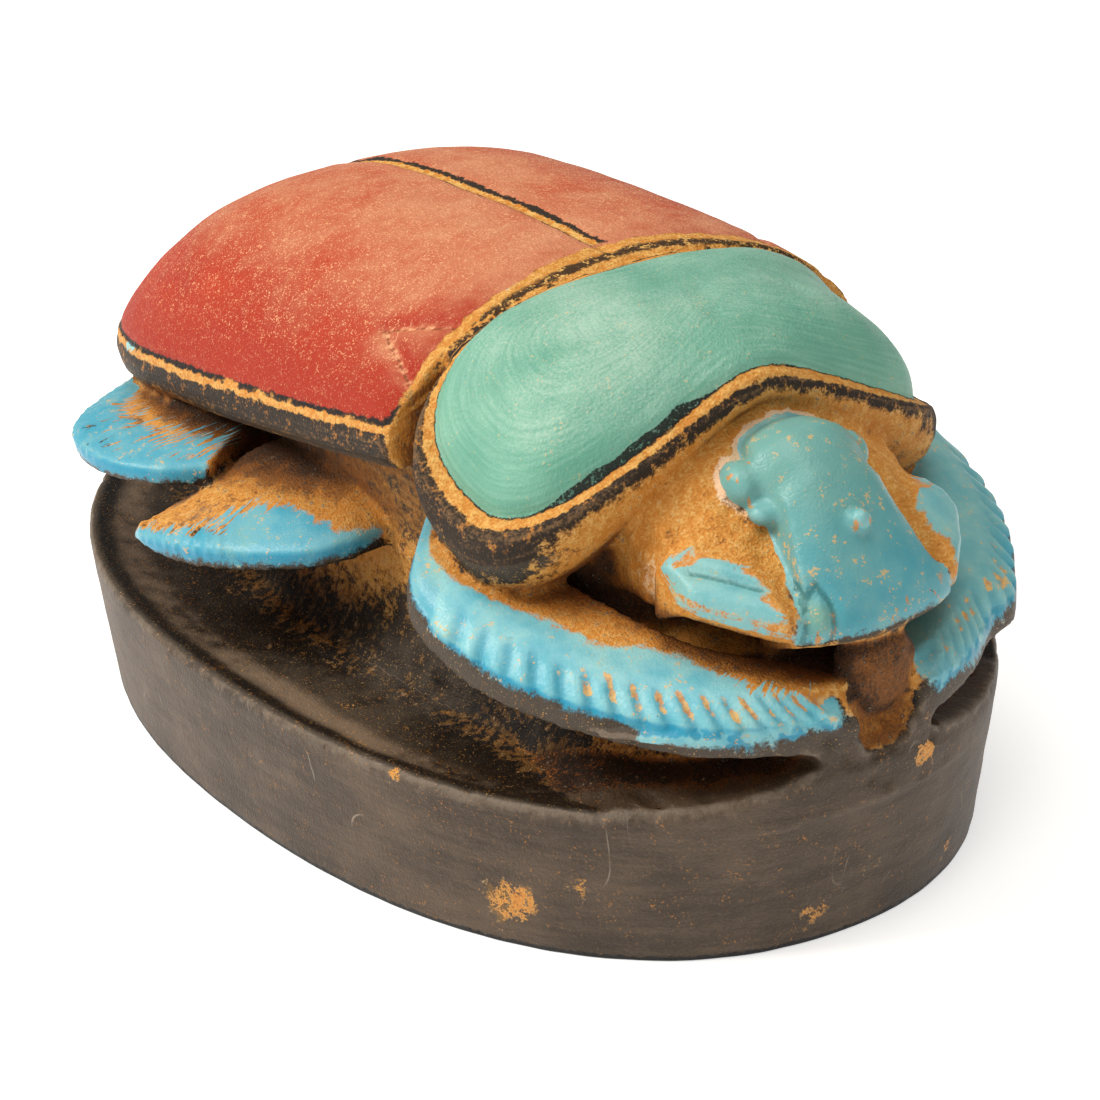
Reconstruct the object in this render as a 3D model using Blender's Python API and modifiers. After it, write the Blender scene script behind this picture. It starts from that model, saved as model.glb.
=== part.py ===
"""Scarab statue: a beetle and the oval plinth under it, carved from one block of stone and painted.

The head points along -Y and the underside lies on Z = 0. The plinth is sized by its own values.
The beetle is a free form, so its places are shares: x in hundredths of the plinth's half width,
y in hundredths of its half length, and z in hundredths of the beetle's height above the plinth.
"""

import math

import bmesh
import bpy
import numpy as np

# Driving dimensions, in metres
LENGTH = 0.1242
WIDTH = 0.0842
PLINTH_HEIGHT = 0.0171
BEETLE_HEIGHT = 0.0404

# The plinth
FLARE = 1.04  # how much larger the top outline is than the bottom one
EDGE_BEVEL = 0.0006
DISH_DEPTH = 0.0022
FRONT_RISE = 0.0028  # the rim climbs by this much to meet the front legs
OUTLINE_POWER = 2.16
OUTLINE_EGG = 0.013
OUTLINE_LOBES = 0.017

# The beetle is carved a little askew on its plinth
BEETLE_TURN = math.radians(2.0)
BEETLE_SHIFT = 0.001
WIDEST = 0.0018  # the outline's widest line lies this far behind the middle

# Depths of the carving
SUTURE_DEPTH = 0.0006
SUTURE_HALF_WIDTH = 0.0014

# Fineness of the mesh
VOXEL = 0.0007
SOFTENING_ROUNDS = 2
TRIANGLES = 9600
AROUND = 96  # points around an oval

HALF_WIDTH = WIDTH / 2
HALF_LENGTH = LENGTH / 2
SHARE = np.array([HALF_WIDTH, HALF_LENGTH, BEETLE_HEIGHT]) / 100


def body(points):
    """Places given as shares in the beetle's own frame, as places in the model's frame."""
    p = np.asarray(points, float) * SHARE
    c, s = math.cos(BEETLE_TURN), math.sin(BEETLE_TURN)
    x = p[..., 0] * c - p[..., 1] * s + BEETLE_SHIFT
    y = p[..., 0] * s + p[..., 1] * c + WIDEST
    return np.stack([x, y, p[..., 2] + PLINTH_HEIGHT], axis=-1)


def signed_power(values, power):
    return np.sign(values) * np.abs(values) ** power


def oval(angles, half_width, front, rear, front_power, rear_power):
    """Points of an egg-like outline. Angle 0 points to the front, along -Y."""
    sine, cosine = np.sin(angles), np.cos(angles)
    ahead = cosine > 0
    power = np.where(ahead, 2 / front_power, 2 / rear_power)
    reach = np.where(ahead, front, rear)
    return np.stack([half_width * signed_power(sine, power), -reach * signed_power(cosine, power)], axis=-1)


def turn(count=AROUND):
    return np.linspace(0, 2 * math.pi, count, endpoint=False)


def plinth_polar(angles):
    """The plinth's outline about its own middle, before it is sized: an oval fuller at the front corners."""
    sine, cosine = np.abs(np.sin(angles)), np.abs(np.cos(angles))
    lobes = 1 + OUTLINE_EGG * np.cos(angles) + OUTLINE_LOBES * np.cos(3 * angles)
    reach = lobes / ((sine * LENGTH / WIDTH) ** OUTLINE_POWER + cosine**OUTLINE_POWER) ** (1 / OUTLINE_POWER)
    return np.column_stack([reach * np.sin(angles), -reach * np.cos(angles)])


def plinth_outline(angles):
    """The plinth's top outline, which fills the length and the width exactly."""
    whole = plinth_polar(turn(720))
    low, high = whole.min(axis=0), whole.max(axis=0)
    return (plinth_polar(angles) - (low + high) / 2) / (high - low) * np.array([WIDTH, LENGTH])


def plinth_reach(bearing):
    """Distance from the beetle's middle to the plinth's top outline along a bearing from the front."""
    flat = plinth_outline(np.linspace(-math.pi, math.pi, 721)) - np.array([0, WIDEST])
    bearings = np.arctan2(flat[:, 0], -flat[:, 1])
    return np.interp(bearing, bearings, np.hypot(flat[:, 0], flat[:, 1]))


def rim_spot(bearing, inset, height, side=1):
    """A place near the plinth's wall: bearing in degrees from the beetle's front, inset in metres."""
    angle = math.radians(bearing) * side + BEETLE_TURN
    reach = plinth_reach(angle) - inset
    return (reach * math.sin(angle), WIDEST - reach * math.cos(angle), PLINTH_HEIGHT + height * SHARE[2])


def within_wall(places, inset=0.0002):
    """Places drawn back to the plinth's wall where they would stand out from it."""
    out = np.array(places, float)
    flat = out[:, :2] - np.array([0, WIDEST])
    reach = np.hypot(flat[:, 0], flat[:, 1])
    limit = plinth_reach(np.arctan2(flat[:, 0], -flat[:, 1])) - inset
    out[:, :2] = flat * (np.minimum(reach, limit) / reach)[:, None] + np.array([0, WIDEST])
    return out


def smooth_path(points, count):
    """A smooth curve through the points, by cubic pieces that share their tangents."""
    p = np.asarray(points, float)
    p = np.vstack([2 * p[0] - p[1], p, 2 * p[-1] - p[-2]])
    pieces = len(p) - 3
    t = np.linspace(0, pieces, count)
    k = np.minimum(t.astype(int), pieces - 1)
    u = (t - k)[:, None]
    a, b, c, d = p[k], p[k + 1], p[k + 2], p[k + 3]
    return 0.5 * (2 * b + (c - a) * u + (2 * a - 5 * b + 4 * c - d) * u**2 + (3 * b - a - 3 * c + d) * u**3)


class Sculpture:
    """Closed shells that overlap, gathered into one mesh before they are fused."""

    def __init__(self):
        self.points = []
        self.faces = []
        self.count = 0

    def add(self, points, faces):
        self.points.append(np.asarray(points, float))
        self.faces += [tuple(int(i) + self.count for i in face) for face in faces]
        self.count += len(points)

    def loft(self, rings, mirrored=False):
        """A closed shell through rings of equally many points, with a fan at each end."""
        rings = np.asarray(rings, float)
        rows, n = rings.shape[:2]
        faces = []
        for r in range(rows - 1):
            for i in range(n):
                j = (i + 1) % n
                faces.append((r * n + i, r * n + j, (r + 1) * n + j, (r + 1) * n + i))
        first, last = rows * n, rows * n + 1
        for i in range(n):
            j = (i + 1) % n
            faces.append((j, i, first))
            faces.append(((rows - 1) * n + i, (rows - 1) * n + j, last))
        points = np.vstack([rings.reshape(-1, 3), rings[0].mean(axis=0), rings[-1].mean(axis=0)])
        if mirrored:
            faces = [face[::-1] for face in faces]
        self.add(points, faces)

    def ball(self, centre, radii):
        """A ball squashed to its radii."""
        shape = bmesh.new()
        bmesh.ops.create_uvsphere(shape, u_segments=32, v_segments=20, radius=1)
        shape.verts.ensure_lookup_table()
        points = np.array([v.co for v in shape.verts]) * np.asarray(radii) + np.asarray(centre)
        faces = [[v.index for v in f.verts] for f in shape.faces]
        shape.free()
        self.add(points, faces)

    def mesh(self, name):
        mesh = bpy.data.meshes.new(name)
        mesh.from_pydata(np.vstack(self.points).tolist(), [], self.faces)
        mesh.update()
        return mesh


def plinth(work):
    """The oval block: a wall that flares upward, a bevelled edge and a shallow dish on top."""
    angles = turn(2 * AROUND)
    outline = plinth_outline(angles)
    bearing = np.abs(np.arctan2(outline[:, 0], -outline[:, 1]))
    rim = PLINTH_HEIGHT + FRONT_RISE * np.exp(-((bearing / math.radians(11)) ** 2))

    def ring(scale, inset, height):
        flat = outline * scale
        flat = flat * (1 - inset / np.hypot(flat[:, 0], flat[:, 1]))[:, None]
        return np.column_stack([flat, np.broadcast_to(height, len(flat))])

    spare = 0.2  # the block runs on below, where it is cut off flat
    rings = [ring(1 - (1 + spare) * (1 - 1 / FLARE), 0, -spare * PLINTH_HEIGHT), ring(1, 0, rim - EDGE_BEVEL),
             ring(1, EDGE_BEVEL, rim)]
    for inset, depth in ((0.09, 0.45), (0.2, 0.85), (0.32, 1.0), (0.5, 0.6), (0.8, 0.6)):
        rings.append(ring(1, inset * HALF_WIDTH, rim - depth * DISH_DEPTH))
    work.loft(rings)


NOTCH_TOP = 20.3  # height of the leg tips on either side of the front notch
NOTCH_BOTTOM = 7.0
NOTCH_SPREAD = 4.6  # half of the notch's width at the top, in degrees
NOTCH_ASIDE = 0.7  # the notch lies a little to one side, in degrees
NOTCH_INSET = 0.0026


def front_pillar(work):
    """The front of the block under the leg tips: flush with the wall, pinched where the two hollows end,
    with a round-bottomed notch in its middle."""
    rings = []
    for height, spread in (
        (-6, 32), (0.7, 24), (1.7, 18), (2.7, 14), (4.5, 9.9), (5.9, 7.9), (7.7, 5.9), (10, 6.4), (12.9, 7.9),
        (14.6, 9.9), (16.6, 13), (18, 19), (NOTCH_TOP, 26),
    ):
        bearings = np.linspace(-spread, spread, 41)
        climb = max(0.0, (height - NOTCH_BOTTOM) / (NOTCH_TOP - NOTCH_BOTTOM))
        width = NOTCH_SPREAD * climb**0.4 + 0.01
        beside = np.clip(np.abs(bearings - NOTCH_ASIDE) / width, 0, 1)
        depth = NOTCH_INSET * np.sqrt(1 - beside**2) * min(1.0, 4 * climb)
        outer = [rim_spot(b, 0.0002 + d, height) for b, d in zip(bearings, depth)]
        inner = [rim_spot(b, 0.34 * HALF_WIDTH, height) for b in bearings[::-1]]
        rings.append(outer + inner)
    work.loft(rings)


def trunk(work):
    """The belly between the legs, undercut below the wing cases."""
    angles = turn()
    rings = []
    for height, width, front, rear in (
        (-6, 64, 88, 82),
        (1, 60, 86, 79),
        (8, 56, 86, 76),
        (20, 55, 86, 74),
        (35, 56, 78, 76),
        (50, 60, 74, 80),
        (64, 62, 70, 76),
        (78, 50, 60, 60),
    ):
        flat = oval(angles, width, front, rear, 2.4, 2.4)
        rings.append(body(np.column_stack([flat, np.full(len(flat), height)])))
    work.loft(rings)


def border_height(y):
    """Height of the wing cases' painted border, which falls towards the rear."""
    return 64 - 0.23 * y


CROWN = 98.4
CROWN_FALL = 0.056  # how far the crown line falls for each share of length towards the rear
SHIELD_REAR = -38.6  # where the wing cases meet the shield
DOME_POWER = 0.9


def wing_cases(work):
    """The domed wing cases with the thick rim under their border."""
    flat = oval(turn(2 * AROUND), 73, 122, 58.8, 2.6, 2.55)
    rings = []
    for scale, drop in ((0.7, 16), (0.9, 14), (0.975, 12.4), (1.01, 9), (1.02, 5), (1.01, 1.4), (1, 0)):
        ring = flat * scale + np.array([0, 32.2])
        rings.append(np.column_stack([ring, border_height(ring[:, 1]) - drop]))
    for step in range(1, 16):
        scale = math.cos(step / 16 * math.pi / 2)
        ring = flat * scale + np.array([0, 8.3 + 23.9 * scale])
        edge = border_height(ring[:, 1])
        crown = CROWN - CROWN_FALL * ring[:, 1]
        rings.append(np.column_stack([ring, edge + (crown - edge) * (1 - scale**3) ** DOME_POWER]))
    for ring in rings:
        ring[:, 1] = np.maximum(ring[:, 1], SHIELD_REAR + 4)
    work.loft([body(ring) for ring in rings])


SHIELD_MIDDLE = -50.0
SHIELD_HALF_WIDTH = 62.5
SHIELD_ASIDE = -2.5  # the shield sits a little to one side
SHIELD_LEDGE = 0.955  # the pillow stands on a ledge that leaves this share of the shield to it
SHIELD_TOP = 98.8
ARCH_ROUNDNESS = 0.16  # how gently the arch over the head turns at its top


def shield_border(angles):
    """The painted border of the shield: low along the lobes, an arch over the head, a higher arch behind."""
    flat = oval(angles, SHIELD_HALF_WIDTH, 22, 14.2, 3.4, 5)
    across = np.clip(np.abs(flat[:, 0]) / SHIELD_HALF_WIDTH, 0, 1)
    front = 93.5 - 34 * np.sqrt(across**2 + ARCH_ROUNDNESS**2)
    rear = 64 + 34.6 * (1 - across**2.4) ** 0.5
    blend = 0.5 - 0.5 * np.clip(flat[:, 1] / 8, -1, 1)
    height = rear + (front - rear) * blend * blend * (3 - 2 * blend)
    return flat, height


def pronotum(work):
    """The shield behind the head: a pillow with a lobe down each side, on a ledge with a rolled rim."""
    flat, height = shield_border(turn(2 * AROUND))
    front = np.clip(-flat[:, 1] / 22, 0, 1)
    aside = 0.5 + 0.5 * np.abs(flat[:, 0]) / SHIELD_HALF_WIDTH
    rings = []
    for scale, drop in ((0.75, 22), (0.93, 20), (1.01, 16), (1.045, 11), (1.05, 6), (1.035, 2.6), (1.01, 1.6),
                        (SHIELD_LEDGE, 0.4)):
        rings.append(np.column_stack([flat * scale, height - drop * aside]))
    for step in range(1, 15):
        scale = math.cos(step / 15 * math.pi / 2)
        top = SHIELD_TOP - 2.5 * front * scale**2
        lift = (top - height) * (1 - scale**2.4) ** 0.55
        rings.append(np.column_stack([flat * scale * SHIELD_LEDGE, height + lift]))
    work.loft(body(np.array(rings) + np.array([SHIELD_ASIDE, SHIELD_MIDDLE, 0])))


HEAD_POINTS = 33
FLAT_PART = 0.84  # share of the plate's half width before its surface turns down to its side


def head(work):
    """The shovel-like middle plate of the head: a rounded skull, then a plate that slopes steeply forward
    between two crisp side edges."""
    u = np.linspace(-1, 1, HEAD_POINTS)
    across = np.clip(u / FLAT_PART, -1, 1)
    side_wall = np.clip((np.abs(u) - FLAT_PART) / (1 - FLAT_PART), 0, 1)
    rings = []
    for y, z, side_y, side_z, width, wall, crisp in (
        (-72, 74, -71.5, 70, 9, 9, 2.0),
        (-77, 77.4, -76.5, 73.5, 11, 10, 2.2),
        (-81.3, 78, -80, 72.6, 13, 12, 2.4),
        (-84.4, 75.5, -83, 69.5, 13.6, 12, 2.4),
        (-85.8, 74, -85, 66.8, 12.8, 8, 2.6),
        (-88.6, 70.5, -87.7, 65, 13.2, 7, 2.8),
        (-92, 64.5, -90.8, 58.6, 14.6, 7, 3.0),
        (-96.3, 54.5, -94.9, 50.6, 17.2, 7, 3.0),
        (-100.3, 45.2, -98.2, 43.8, 20.6, 5, 2.8),
        (-101.3, 41, -98.8, 40.5, 21.3, 2, 2.4),
        (-101.2, 37, -98.4, 38.2, 20.7, 1, 2.4),
        (-99.5, 35, -97, 36, 19, 0.5, 2.4),
    ):
        bow = np.abs(across) ** crisp
        x = width * across * (1 + 0.03 * side_wall)
        height = z + (side_z - z) * bow - wall * side_wall
        over = np.column_stack([x, y + (side_y - y) * bow + 0.5 * side_wall, height])
        under = np.column_stack([width * 0.85 * u[::-1], np.full(HEAD_POINTS, y + 16),
                                 np.full(HEAD_POINTS, min(z - 9, 58.0))])
        rings.append(body(np.vstack([over, under])))
    work.loft(rings, mirrored=True)


def cheek(work, side):
    """The flat plate beside the head's middle, from its outer corner to under the middle plate."""
    rings = []
    thick = 8.5
    for x, front, front_z, rear, rear_z in (
        (37.8, -86, 50.5, -80.5, 52.5),
        (37, -87.5, 50.2, -79.5, 53.5),
        (31, -93, 48.4, -79.5, 56.5),
        (24, -98, 46.6, -82, 56),
        (15, -97, 43.5, -87, 52),
        (6, -95, 41, -88, 48),
    ):
        ring = [(x, rear, rear_z), (x, (front + rear) / 2, (front_z + rear_z) / 2 + 0.8),
                (x, front + 0.8, front_z), (x, front, front_z - 1.2), (x, front + 0.4, front_z - thick + 1.5),
                (x, front + 2, front_z - thick), (x, rear + 3, rear_z - thick - 8), (x, rear + 3, rear_z - 4)]
        rings.append(body(np.array(ring) * (side, 1, 1)))
    work.loft(rings, mirrored=side < 0)


def ledge(work, edge, inner, face, side, section, thick):
    """A leg: a ledge from the trunk to an outer edge, with an upright outer face. The section gives its top
    as pairs of share inward and rise, and thick its depth along its length."""
    rings = []
    for e, i, t in zip(edge, inner, thick):
        rise = np.array([0, 0, SHARE[2]])
        down = np.array([0, 0, face * t])
        top = [e] + [e + (i - e) * share + rise * lift * t for share, lift in section]
        under = [i - down * 2.6, e + (i - e) * 0.5 - down * 1.8, e + (i - e) * 0.12 - down * 1.15, e - down]
        rings.append(np.array(top + under))
    work.loft(rings, mirrored=side > 0)


def swelling(count, start, end):
    """1 along the middle, easing to the start and end values."""
    t = np.linspace(0, 1, count)
    near_start = np.clip(1 - t / 0.35, 0, 1) ** 2
    near_end = np.clip(1 - (1 - t) / 0.35, 0, 1) ** 2
    return 1 - (1 - start) * near_start - (1 - end) * near_end


LEG_ROWS = 64


def leg_path(side, *places):
    """Places of one leg on the given side of the beetle, in the model's frame."""
    return body([(side * x, y, z) for x, y, z in places])


def front_leg(work, side):
    """A bent leg that runs forward along the wall and meets its twin at the notch."""
    tip = 8.7 if side < 0 else 10.5
    places = leg_path(
        side, (tip, -104, 19), (19.6, -103, 19.4), (28, -101.6, 20.8), (36, -99.1, 21.7), (44.6, -94.9, 22.5),
        (52.3, -89.8, 23.5), (59.8, -84.2, 25.2), (66.3, -78.3, 27.1), (72.4, -71.2, 29.8), (76.6, -63.1, 32.8),
        (78.3, -55.8, 36.1), (77.3, -49.2, 40.6), (70.6, -42.7, 43.3), (62.1, -36.5, 44.1))
    flush = 5  # the foremost places lie in the plinth's wall
    places[:flush] = within_wall(places[:flush])
    edge = smooth_path(places, LEG_ROWS)
    inner = smooth_path(leg_path(
        side, (9, -90, 23), (20, -87, 26), (33, -78, 30), (44, -64, 37), (52, -48, 44),
        (52, -34, 46)), LEG_ROWS)
    section = ((0.05, 1.2), (0.16, 3.0), (0.34, 4.2), (0.55, 3.8), (0.8, 2.6), (1, 1.5))
    ledge(work, edge, inner, 0.0032, side, section, swelling(LEG_ROWS, 1, 0.8))


def middle_leg(work, side):
    """A leaf-shaped wedge that reaches out and back to a pointed tip."""
    edge = smooth_path(leg_path(
        side, (54, -18.5, 32.5), (65, -18.5, 31.5), (75, -16, 30), (84.5, -9, 28), (93, 2, 25.3),
        (96.5, 12, 22.8), (97.8, 19, 20.8)), LEG_ROWS)
    inner = smooth_path(leg_path(
        side, (46, -17, 38), (47, -4, 42), (52, 8, 42), (62, 16, 38), (80, 19, 28),
        (96, 21, 21)), LEG_ROWS)
    section = ((0.06, 1.0), (0.25, 2.2), (0.6, 2.2), (1, 1))
    ledge(work, within_wall(edge, 0.0005), inner, 0.0022, side, section, swelling(LEG_ROWS, 0.9, 0.2))


def hind_leg(work, side):
    """A broad paddle along the rear flank, cut off obliquely at its front end."""
    edge = smooth_path(leg_path(
        side, (79, 15, 37), (89, 20, 36.6), (95.5, 28, 36), (97, 38, 35), (93, 48, 34.2), (82, 56, 33.8),
        (68, 61.5, 33.8), (55, 63, 33.8)), LEG_ROWS)
    inner = smooth_path(leg_path(
        side, (50, 26, 40), (50, 34, 40), (50, 42, 40), (48, 50, 38), (44, 56, 36),
        (40, 58, 35)), LEG_ROWS)
    section = ((0.05, 1.0), (0.2, 2.4), (0.6, 2.6), (1, 2))
    ledge(work, edge, inner, 0.0019, side, section, swelling(LEG_ROWS, 1, 0.8))


def chest(work):
    """The bed inside the front legs, from which the head stands out; it is undercut towards the plinth."""
    angles = turn()
    rings = []
    for height, width, front, rear in (
        (-6, 55, 36, 40),
        (2, 50, 35, 40),
        (9, 46, 35, 40),
        (15, 52, 38, 40),
        (20, 58, 41, 40),
        (23.5, 56, 39, 38),
        (27, 44, 31, 30),
        (31, 34, 24, 24),
        (48, 30, 20, 20),
    ):
        flat = oval(angles, width, front, rear, 2.2, 2.4) + np.array([0, -57])
        rings.append(body(np.column_stack([flat, np.full(len(flat), height)])))
    work.loft(rings)


def small_forms(work):
    """Eyes, brows, the bump on the head, and the rough root that runs from under the head into the notch."""
    for side in (-1, 1):
        work.ball(body((side * 15.2, -78.3, 65.8)), (0.0018, 0.0025, 0.0021))
        work.ball(body((side * 13.2, -83.5, 61)), (0.0020, 0.0016, 0.0012))
    work.ball(body((0, -94.3, 61.4)), (0.0011, 0.0011, 0.0011))
    work.ball(body((1.5, -96.7, 25)), (0.0043, 0.0026, 0.0050))


def neck(work):
    """The bed that fills the corners between the shield, the head and the cheeks."""
    rings = []
    for x, back, low, lift in ((36, 8, 8, 0), (34, 4, 3, 0), (24, 0, 0, 2), (12, 0, 0, 8), (0, 0, 0, 12),
                               (-12, 0, 0, 8), (-24, 0, 0, 2), (-34, 4, 3, 0), (-36, 8, 8, 0)):
        ring = [(x, -60, 72 + lift), (x, -73 + back, 65 + lift - low), (x, -80 + back, 59 + lift / 3 - low),
                (x, -86 + back, 54 - low), (x, -91 + back, 49 - low), (x, -90 + back, 42), (x, -78, 38),
                (x, -60, 38)]
        rings.append(body(ring))
    work.loft(rings)


def beetle_frame(points):
    """Places in the model's frame as shares in the beetle's own frame: the way back from body()."""
    x = points[:, 0] - BEETLE_SHIFT
    y = points[:, 1] - WIDEST
    c, s = math.cos(BEETLE_TURN), math.sin(BEETLE_TURN)
    return np.column_stack([x * c + y * s, y * c - x * s, points[:, 2] - PLINTH_HEIGHT]) / SHARE


def carve_suture(mesh):
    """The groove between the two wing cases, from the shield to the rear border."""
    points = np.empty(len(mesh.vertices) * 3)
    mesh.vertices.foreach_get("co", points)
    points = points.reshape(-1, 3)
    share = beetle_frame(points)
    beside = np.abs(share[:, 0]) * SHARE[0] / SUTURE_HALF_WIDTH
    on_top = (share[:, 1] > SHIELD_REAR + 3) & (share[:, 2] > border_height(share[:, 1]) + 2)
    inside = np.clip(1 - beside, 0, 1) * on_top
    points[:, 2] -= SUTURE_DEPTH * inside * inside * (3 - 2 * inside)
    mesh.vertices.foreach_set("co", points.ravel())


def fuse(mesh):
    """One skin around all the overlapping shells."""
    block = bpy.data.objects.new("fused", mesh)
    bpy.context.scene.collection.objects.link(block)
    remesh = block.modifiers.new("fuse", "REMESH")
    remesh.mode = "VOXEL"
    remesh.voxel_size = VOXEL
    smooth = block.modifiers.new("soften", "SMOOTH")
    smooth.factor = 0.5
    smooth.iterations = SOFTENING_ROUNDS
    bpy.context.view_layer.update()
    fused = bpy.data.meshes.new_from_object(block.evaluated_get(bpy.context.evaluated_depsgraph_get()))
    bpy.data.objects.remove(block)
    return fused


def flatten_underside(mesh):
    """Cuts the block off flat at Z = 0, and closes the cut with one face."""
    shape = bmesh.new()
    shape.from_mesh(mesh)
    everything = shape.verts[:] + shape.edges[:] + shape.faces[:]
    bmesh.ops.bisect_plane(shape, geom=everything, dist=1e-6, plane_co=(0, 0, 0), plane_no=(0, 0, 1),
                           clear_inner=True)
    rim = [edge for edge in shape.edges if edge.is_boundary]
    for vert in {vert for edge in rim for vert in edge.verts}:
        vert.co.z = 0
    bmesh.ops.contextual_create(shape, geom=rim)
    bmesh.ops.recalc_face_normals(shape, faces=shape.faces[:])
    shape.to_mesh(mesh)
    shape.free()


def thin_out(mesh):
    """Fewer triangles, kept where the form turns most."""
    block = bpy.data.objects.new("thinned", mesh)
    bpy.context.scene.collection.objects.link(block)
    decimate = block.modifiers.new("thin out", "DECIMATE")
    decimate.ratio = TRIANGLES / sum(len(face.vertices) - 2 for face in mesh.polygons)
    bpy.context.view_layer.update()
    thinned = bpy.data.meshes.new_from_object(block.evaluated_get(bpy.context.evaluated_depsgraph_get()))
    bpy.data.objects.remove(block)
    return thinned


def stone(name, colour, roughness):
    material = bpy.data.materials.new(name)
    material.use_nodes = True
    shader = material.node_tree.nodes["Principled BSDF"]
    shader.inputs["Base Color"].default_value = (*colour, 1)
    shader.inputs["Roughness"].default_value = roughness
    shader.inputs["Metallic"].default_value = 0
    return material


def main():
    for old in list(bpy.data.objects):
        bpy.data.objects.remove(old)
    work = Sculpture()
    plinth(work)
    front_pillar(work)
    trunk(work)
    wing_cases(work)
    pronotum(work)
    head(work)
    chest(work)
    neck(work)
    small_forms(work)
    for side in (-1, 1):
        cheek(work, side)
        front_leg(work, side)
        middle_leg(work, side)
        hind_leg(work, side)
    fused = fuse(work.mesh("scarab_forms"))
    carve_suture(fused)
    mesh = thin_out(fused)
    flatten_underside(mesh)
    mesh.name = "scarab_statue"
    mesh.shade_smooth()
    mesh.set_sharp_from_angle(angle=math.radians(40))
    mesh.materials.append(stone("black_stone", (0.11, 0.09, 0.075), 0.6))
    home = bpy.data.collections.new("scarab_statue")
    bpy.context.scene.collection.children.link(home)
    home.objects.link(bpy.data.objects.new("scarab_statue", mesh))


main()
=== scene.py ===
"""Looks of the scarab statue: the fine carving, the worn paint, and the studio around it.

The carving is modelled from the same named shapes as the solid, at a finer grain. Every point remembers
which form it lies on and how far it is from that form's edge, and these places steer the chisel and the
paint. The head points along -Y. The beetle's places are shares: x in hundredths of the plinth's half
width, y of its half length, and z of the beetle's height above the plinth. Reliefs and paint are in mm.
"""

import math

import bmesh
import bpy
import numpy as np
from mathutils import Matrix, Vector, noise
from mathutils.bvhtree import BVHTree


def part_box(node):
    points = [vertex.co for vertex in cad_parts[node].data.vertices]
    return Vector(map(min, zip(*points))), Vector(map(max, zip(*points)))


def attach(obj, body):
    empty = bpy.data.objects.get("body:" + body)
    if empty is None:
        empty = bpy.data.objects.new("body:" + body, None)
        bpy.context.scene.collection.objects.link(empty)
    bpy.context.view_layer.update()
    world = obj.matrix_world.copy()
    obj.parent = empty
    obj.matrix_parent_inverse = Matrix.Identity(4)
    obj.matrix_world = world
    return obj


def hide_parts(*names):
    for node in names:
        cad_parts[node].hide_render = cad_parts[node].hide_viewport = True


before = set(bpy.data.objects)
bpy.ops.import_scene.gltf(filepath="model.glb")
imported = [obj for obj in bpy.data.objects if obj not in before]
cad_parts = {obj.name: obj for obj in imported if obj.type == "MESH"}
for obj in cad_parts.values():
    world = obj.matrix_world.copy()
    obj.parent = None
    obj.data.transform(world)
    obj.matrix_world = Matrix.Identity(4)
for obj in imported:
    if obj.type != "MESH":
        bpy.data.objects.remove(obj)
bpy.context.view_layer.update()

# Sizes worked out from the frame, in metres and to a tenth of a millimetre
LOW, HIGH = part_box("scarab_statue")
DRAWN_IN = (0.0001, 0.0003, 0.0005)  # the softened surface is this much narrower, shorter and lower
WIDTH, LENGTH, HEIGHT = (round(high - low + less, 4) for low, high, less in zip(LOW, HIGH, DRAWN_IN))
PLINTH_HEIGHT = 0.0171
BEETLE_HEIGHT = round(HEIGHT - PLINTH_HEIGHT, 4)
HALF_WIDTH = WIDTH / 2
HALF_LENGTH = LENGTH / 2
SHARE = np.array([HALF_WIDTH, HALF_LENGTH, BEETLE_HEIGHT]) / 100
MM = 0.001

# The plinth
FLARE = 1.04
EDGE_BEVEL = 0.0006
DISH_DEPTH = 0.0022
FRONT_RISE = 0.0028
OUTLINE_POWER = 2.16
OUTLINE_EGG = 0.013
OUTLINE_LOBES = 0.017
SPARE = 0.2  # the block runs on below by this share of the plinth's height, and is cut off flat
WALL_GAP = 0.0002  # what is flush with the wall lies this far inside it

# The beetle is carved a little askew on its plinth
BEETLE_TURN = math.radians(2.0)
BEETLE_SHIFT = 0.001
WIDEST = 0.0018  # the outline's widest line lies this far behind the middle

# Fineness of the mesh
VOXEL = 0.00042
SOFTENING = 2
TRIANGLES = 185000
AROUND = 128  # points around an oval

FORMS = (
    "plinth", "pillar", "trunk", "case", "shield", "head", "cheek", "front_leg", "middle_leg", "hind_leg",
    "chest", "knob", "neck",
)
FORM = {name: index for index, name in enumerate(FORMS)}


# Shapes, as in the solid

def body(points):
    """Places given as shares in the beetle's own frame, as places in the model's frame."""
    p = np.asarray(points, float) * SHARE
    c, s = math.cos(BEETLE_TURN), math.sin(BEETLE_TURN)
    x = p[..., 0] * c - p[..., 1] * s + BEETLE_SHIFT
    y = p[..., 0] * s + p[..., 1] * c + WIDEST
    return np.stack([x, y, p[..., 2] + PLINTH_HEIGHT], axis=-1)


def beetle_mm(points):
    """Places in the model's frame as millimetres in the beetle's own frame, with z above the floor."""
    x = points[:, 0] - BEETLE_SHIFT
    y = points[:, 1] - WIDEST
    c, s = math.cos(BEETLE_TURN), math.sin(BEETLE_TURN)
    return np.column_stack([x * c + y * s, y * c - x * s, points[:, 2]]) / MM


def signed_power(values, power):
    return np.sign(values) * np.abs(values) ** power


def oval(angles, half_width, front, rear, front_power, rear_power):
    """Points of an egg-like outline. Angle 0 points to the front, along -Y."""
    sine, cosine = np.sin(angles), np.cos(angles)
    ahead = cosine > 0
    power = np.where(ahead, 2 / front_power, 2 / rear_power)
    reach = np.where(ahead, front, rear)
    return np.stack([half_width * signed_power(sine, power), -reach * signed_power(cosine, power)], axis=-1)


def turn(count=AROUND):
    return np.linspace(0, 2 * math.pi, count, endpoint=False)


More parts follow.
